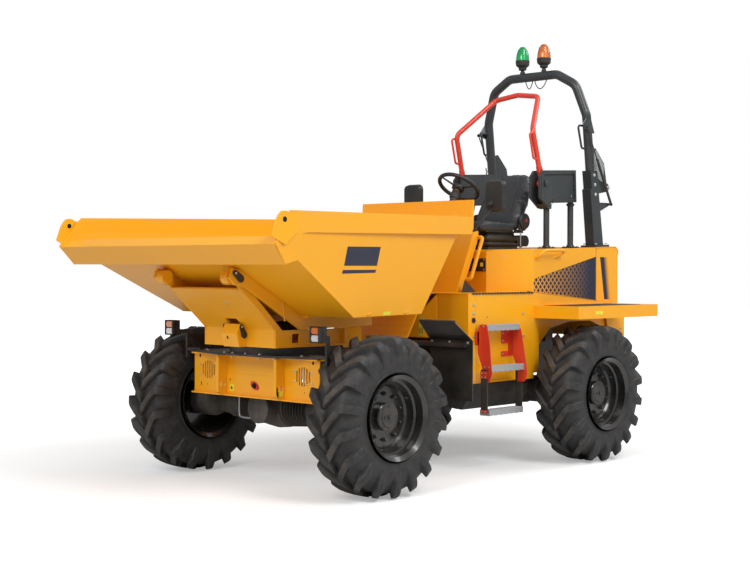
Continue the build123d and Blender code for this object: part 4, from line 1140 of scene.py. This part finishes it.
for s, side in sides:
    up = [(-1250 - k * 24, s * (150 - 0.77 * k * k), 1890 + 46 * k) for k in range(9)]
    seam(f"back_seam_{side}", laid_on(backrest, up, (1, 0, 0.3), 0.3))
    up = [(-1250 - k * 24, s * (185 - 0.96 * k * k), 1900 + 44 * k) for k in range(8)]
    seam(f"back_outer_seam_{side}", laid_on(backrest, up, (1, 0, 0.3), 0.3), 1.6)
    along = [(-730 - k * 52, s * 172, 1900) for k in range(9)]
    seam(f"pad_seam_{side}", laid_on(pad, along, (0, 0, 1), 0.2))
across = [(-1000, -160 + k * 40, 1900) for k in range(9)]
seam("pad_cross_seam", laid_on(pad, across, (0, 0, 1), 0.2), 1.8)

folds = (
    (0, 1680), (14, 1694), (22, 1704), (14, 1716), (0, 1722), (2, 1728),
    (24, 1738), (28, 1752), (22, 1768), (4, 1780), (0, 1800),
)
mesh = bmesh.new()
for k, (grow, z) in enumerate(folds):
    front, rear, half = -860 + grow, -1226 - grow, 186 + grow
    outline = rounded([(front, -half), (front, half), (rear, half), (rear, -half)], 36, 5)
    ring = [mesh.verts.new(spot(x, y, z)) for x, y in outline]
    if k:
        for i in range(len(ring)):
            mesh.faces.new((below[i - 1], below[i], ring[i], ring[i - 1]))
    else:
        mesh.faces.new(ring)
    below = ring
mesh.faces.new(below[::-1])
fixed("seat_bellows", mesh, black_rubber, "rear_frame", 0, 70)
mesh = bmesh.new()
turned(mesh, (-1268, 240, 1896), (0, 1, 0), [(0, 66), (16, 66), (22, 60), (25, 44), (25, 0)], 36)
slab(mesh, "y", rounded([(-1190, 1816), (-1300, 1816), (-1320, 1960), (-1230, 1960)], 30), 238, 246)
bar(mesh, (-1230, -1140), (236, 268), (1796, 1824))
mirrored(mesh)
rear_box = [(-1290, 1690), (-1440, 1690), (-1460, 1740), (-1430, 1784), (-1300, 1782)]
slab(mesh, "y", rounded(rear_box, 22), -160, 160)
fixed("seat_fittings", mesh, black_plastic, "rear_frame", 0.003)
mesh = bmesh.new()
slab(mesh, "y", [(-1262, 1900), (-1290, 1912), (-1288, 1918), (-1256, 1908)], 265, 266)
slab(mesh, "y", [(-1262, 1888), (-1296, 1896), (-1294, 1902), (-1258, 1896)], 265, 266)
fixed("seat_marks", mesh, safety_red, "rear_frame")
lever_x, lever_y = -1160, 292
lever = [(lever_x, lever_y, 1672), (lever_x, lever_y, 1740), (lever_x - 1, lever_y, 1806)]
bent_pipe("seat_lever", lever, 5, zinc_plate, "rear_frame", 2)
mesh = bmesh.new()
turned(mesh, (lever_x, lever_y, 1800), (0, 0, 1), [(0, 9), (6, 15), (18, 17), (28, 12), (31, 0)], 20)
turned(mesh, (lever_x, lever_y, 1680), (0, 0, 1), [(0, 16), (5, 16), (8, 8), (8, 0)], 16)
fixed("seat_lever_knob", mesh, black_plastic, "rear_frame")

# ---- mirrors ------------------------------------------------------------------------------------
# Two moulded mirror heads on bent stalks from the dash tower, with a ball joint behind each. The
# glass faces the driver.
dress("mirrors", black_plastic, 0.006, 3)
mirror_glass = finish("mirror glass", (0.75, 0.77, 0.80), 0.04, metallic=1.0, dirt=0.0, texture=0.0)
mesh = bmesh.new()
face = rounded([(352, 1962), (504, 1962), (504, 2182), (352, 2182)], 34, 6)
slab(mesh, "x", face, -674.8, -674.2)
mirrored(mesh)
fixed("mirror_glass", mesh, mirror_glass, "rear_frame")
mesh = bmesh.new()
ball = [(-6, 24), (4, 26), (12, 20), (20, 22), (34, 16), (40, 0)]
turned(mesh, (-634, 404, 2014), (1, -0.3, -0.5), ball, 24)
mirrored(mesh)
fixed("mirror_joints", mesh, black_plastic, "rear_frame")

# ---- guard boxes and guard bar ------------------------------------------------------------------
# Moulded dark grey boxes on two round posts hold the feet of the driver's red guard bar. A raised
# border runs round each face; the bar tilts forward on its pin, with a socket round each foot.
box_grey = finish("box grey", (0.030, 0.036, 0.040), 0.46, dirt=0.06, texture=0.3, scale=500)
charcoal = finish("charcoal paint", (0.026, 0.032, 0.036), 0.36, coat=0.12, dirt=0.05)
dress("guard_boxes", box_grey, 0.004)
mesh = bmesh.new()
rim = [
    (-1216, 2066), (-1216, 2250), (-1252, 2288), (-1692, 2314),
    (-1702, 2076), (-1378, 2058), (-1350, 2016), (-1314, 2014),
]
inner = [
    (-1232, 2074), (-1232, 2244), (-1258, 2272), (-1678, 2298),
    (-1687, 2091), (-1388, 2073), (-1358, 2030), (-1318, 2028),
]
for i in range(8):
    slab(mesh, "y", [rim[i - 1], rim[i], inner[i], inner[i - 1]], 456.5, 461)
turned(mesh, (-1290, 457, 2200), (0, 1, 0), [(0, 26), (4, 26), (6, 22), (6, 0)], 28)
mirrored(mesh)
fixed("guard_box_borders", mesh, box_grey, "rear_frame", 0.0015)
dress("guard_bar", safety_red, 0.0015)
mesh = bmesh.new()
for x, z in ((-1650, 2110), (-1240, 2100)):
    turned(mesh, (x, 449, z), (0, 1, 0), [(0, 7), (4, 7), (5, 5), (5, 0)], 12)
for x, base in ((-1360, 1678), (-1700, 1686)):
    for dx in (-38, 38):
        for y in (368, 442):
            bolt(mesh, (x + dx, y, base + 6), (0, 0, 1), 7)
mirrored(mesh)
fixed("guard_box_bolts", mesh, zinc_plate, "rear_frame")
mesh = bmesh.new()
for x, base in ((-1360, 1680), (-1700, 1688)):
    turned(mesh, (x, 405, base), (0, 0, 1), [(0, 34), (10, 34), (16, 27), (24, 26), (24, 0)], 24)
    turned(mesh, (x, 405, 2030), (0, 0, 1), [(0, 25), (4, 34), (20, 34), (20, 0)], 24)
mirrored(mesh)
fixed("guard_post_collars", mesh, charcoal, "rear_frame")
mesh = bmesh.new()
side = Vector((118, -9, 434)).normalized()
foot = Vector((-1290, 409, 2200)) + side * 92
turned(mesh, tuple(foot), side, [(0, 21), (0, 25), (52, 25), (54, 21)], 28)
bolt(mesh, tuple(foot + side * 26 + Vector((0, 24.5, 0))), (0, 1, 0), 8)
mirrored(mesh)
fixed("guard_bar_sockets", mesh, safety_red, "guard_bar", 0.001)

# ---- roll-over hoop -----------------------------------------------------------------------------
# Bent tube hoop in charcoal paint that folds back at its hinge plates, which have pale faces. Chrome
# T-pins lock it, gas struts ease it, and bolts hold its lower posts to the body.
dress("rops_lower", charcoal)
dress("rops_upper", charcoal)
dress("strut_barrels", frame_black, 0)
dress("strut_rods", frame_black, 0)
pale_plate = finish("pale plate", (0.36, 0.40, 0.40), 0.4, metallic=0.5, dirt=0.1, texture=0.1)


def leg(z):
    """Front-to-back place of the hoop's leg at a height."""
    return -1775 - 0.125 * (2700 - z)


mesh = bmesh.new()
plate = [(-2004, 2216), (-2010, 2392), (-1892, 2508), (-1862, 2496), (-1868, 2300)]
slab(mesh, "y", rounded(plate, 14), 528.2, 531)
mirrored(mesh)
fixed("hinge_face_plates", mesh, pale_plate, "hoop", 0.001)
mesh = bmesh.new()
gusset = [(leg(2780) + 8, 2782), (leg(2700) + 92, 2716), (leg(2700) + 88, 2700), (leg(2690), 2682)]
slab(mesh, "y", gusset, 534, 540)
mirrored(mesh)
fixed("grip_gussets", mesh, pale_plate, "hoop", 0.001)
mesh = bmesh.new()
for z in (2290, 2210, 2130):
    bolt(mesh, (leg(z), 556, z), (0, 1, 0), 13)
for dx in (-80, 72):
    for y in (458, 572):
        bolt(mesh, (leg(1676) + dx, y, 1713 - 0.04 * dx), (0, 0, 1), 12)
bolt(mesh, (-2030, 556, 2195), (0, 1, 0), 14)
mirrored(mesh)
fixed("hoop_foot_bolts", mesh, zinc_plate, "rear_frame")
pin_x, pin_end = leg(2360), 586
for s, side in sides:
    pin = [(pin_x, s * 486, 2372), (pin_x, s * pin_end, 2372)]
    bent_pipe(f"lock_pin_{side}", pin, 8, chrome, "hoop", 2)
    cross_bar = [(pin_x - 6, s * pin_end, 2340), (pin_x + 6, s * pin_end, 2404)]
    bent_pipe(f"lock_pin_bar_{side}", cross_bar, 6, chrome, "hoop", 2)
collar = [
    (0, 22), (22, 22), (26, 15), (40, 15), (44, 30), (52, 34), (62, 34),
    (64, 34), (84, 57), (116, 60.5), (124, 61), (126, 59), (126, 40),
]
mesh = bmesh.new()
turned(mesh, (leg(3152), 113, 3176), (0, 0, 1), collar, 36)
mirrored(mesh)
fixed("lamp_collars", mesh, black_rubber, "hoop")

# ---- flashing lamps -----------------------------------------------------------------------------
# Egg-shaped translucent domes of tinted plastic in rubber collars, green on the right and amber on
# the left. Thick parts of the moulding look darker.


def dome(name, color, deep):
    """Tinted translucent moulding that is darker where it is thick."""
    made, tree, shader = blank(name)
    facing = wired(tree, "LayerWeight", "Facing", {"Blend": 0.45})
    supply(tree, shader, {
        "Base Color": mixed(tree, facing, (*color, 1), (*deep, 1)),
        "Roughness": mixed(tree, noise(tree, 40, 2, 0.3, 0.8), 0.10, 0.18, "FLOAT"),
        "Transmission Weight": 0.45, "IOR": 1.45, "Coat Weight": 0.3,
    })
    return made


dress("beacon_green", dome("green dome", (0.01, 0.55, 0.16), (0.0, 0.16, 0.05)), 0)
dress("beacon_amber", dome("amber dome", (0.90, 0.26, 0.05), (0.30, 0.05, 0.01)), 0)

# ---- lamp leads ---------------------------------------------------------------------------------
# Two short loops of black sheathed cable carry the current of the flashing lamps. They leave the
# underside of the hoop's tube and go back into it.
lead_black = finish("lead sheath", (0.010, 0.010, 0.010), 0.5, dirt=0.02, texture=0.1)
under = leg(3110)
leads = (
    ("lead_right", [(-82, 3118), (-72, 3080.8), (-45, 3044.4), (-18, 3080.8), (-8, 3118)], 0.151),
    ("lead_left", [(14, 3118), (24, 3077.2), (72, 3036.6), (122, 3077.2), (140, 3118)], 0.192),
)
for name, route, length in leads:
    lead = bent_pipe(name, [(under, y, z) for y, z in route], 4, lead_black, "hoop")
    start = tuple(spot(under, *route[0]))

# ---- rear end -----------------------------------------------------------------------------------
# Red ribbed rear lamps in black surrounds below the radiator cowl, and the zinc-plated drop pin of
# the tow hitch.
red_lens = lens("red lens", (0.55, 0.01, 0.01), 0.3)
dress("rear_lamps", red_lens, 0.002)
mesh = bmesh.new()
for low, high in ((1014, 1020), (1130, 1136)):
    bar(mesh, (-2138, -2119.4), (514, 646), (low, high))
for low, high in ((514, 520), (640, 646)):
    bar(mesh, (-2138, -2119.4), (low, high), (1014, 1136))
mirrored(mesh)
fixed("rear_lamp_surrounds", mesh, black_plastic, "rear_frame", 0.001)
mesh = bmesh.new()
pin = [(0, 0), (6, 14), (12, 17), (150, 17), (152, 26), (158, 26), (160, 0)]
turned(mesh, (-2135, 0, 532), (0, 0, 1), pin, 24)
fixed("hitch_pin", mesh, zinc_plate, "rear_frame")

# ---- studio -------------------------------------------------------------------------------------
# White paper floor with a painted glow, seen only by the camera, that brightens away from the machine until
# it meets the white background; a broad soft key lamp over the machine's left and two weaker ones.
reach = 40
floor_mesh = bpy.data.meshes.new("floor")
corners = [(-reach, -reach, 0), (reach, -reach, 0), (reach, reach, 0), (-reach, reach, 0)]
floor_mesh.from_pydata(corners, [], [(0, 1, 2, 3)])
floor = shown("floor", floor_mesh)
paper, tree, shader = blank("paper")
far = wired(tree, "VectorMath", "Value", {0: own_place(tree)}, operation="LENGTH")
# Painted light: the floor glows for camera rays, dimmer near the machine and brighter further out.
painted_brightening = {"Value": far, "From Min": 2.0, "From Max": 7.0, "To Min": 0.34, "To Max": 0.85}
painted_floor_glow = wired(tree, "MapRange", "Result", painted_brightening)
seen = wired(tree, "LightPath", "Is Camera Ray", {})
supply(tree, shader, {
    "Base Color": (0.72, 0.72, 0.72, 1), "Roughness": 0.95, "Specular IOR Level": 0.0,
    "Emission Color": (1, 1, 1, 1), "Emission Strength": product(tree, painted_floor_glow, seen),
})
floor_mesh.materials.append(paper)

world = bpy.data.worlds.new("studio")
bpy.context.scene.world = world
world.use_nodes = True
tree = world.node_tree
paths = tree.nodes.new("ShaderNodeLightPath").outputs
seen = product(tree, paths["Is Camera Ray"], paths["Is Transmission Ray"], "MAXIMUM")
strength = mixed(tree, seen, 0.50, 1.0, "FLOAT")
supply(tree, tree.nodes["Background"], {"Color": (1, 1, 1, 1), "Strength": strength})


def lamp_box(name, place, size, watts):
    """Soft square lamp aimed at the middle of the machine."""
    light = bpy.data.lights.new(name, "AREA")
    light.shape = "SQUARE"
    light.size = size
    light.energy = watts
    lamp = shown(name, light)
    lamp.location = place
    lamp.rotation_euler = (Vector((0, 0, 1.2)) - Vector(place)).to_track_quat("-Z", "Y").to_euler()


lamp_box("key box", (1.0, 7.5, 8.0), 4, 500)
lamp_box("front box", (9, 2.5, 7), 4, 420)
lamp_box("back box", (-6, 3, 7), 4, 200)

eye = bpy.data.cameras.new("eye")
eye.lens = 65.47
eye.sensor_width = 36
camera = shown("eye", eye)
eye_place, heading, dip, roll = (7.720, 7.021, 1.503), 223.019, 0.5089, 0.19
camera.matrix_world = (
    Matrix.Translation(eye_place)
    @ Matrix.Rotation(math.radians(heading - 90), 4, "Z")
    @ Matrix.Rotation(math.radians(90 - dip), 4, "X")
    @ Matrix.Rotation(math.radians(roll), 4, "Z")
)
bpy.context.scene.camera = camera
bpy.context.scene.view_settings.view_transform = "Standard"
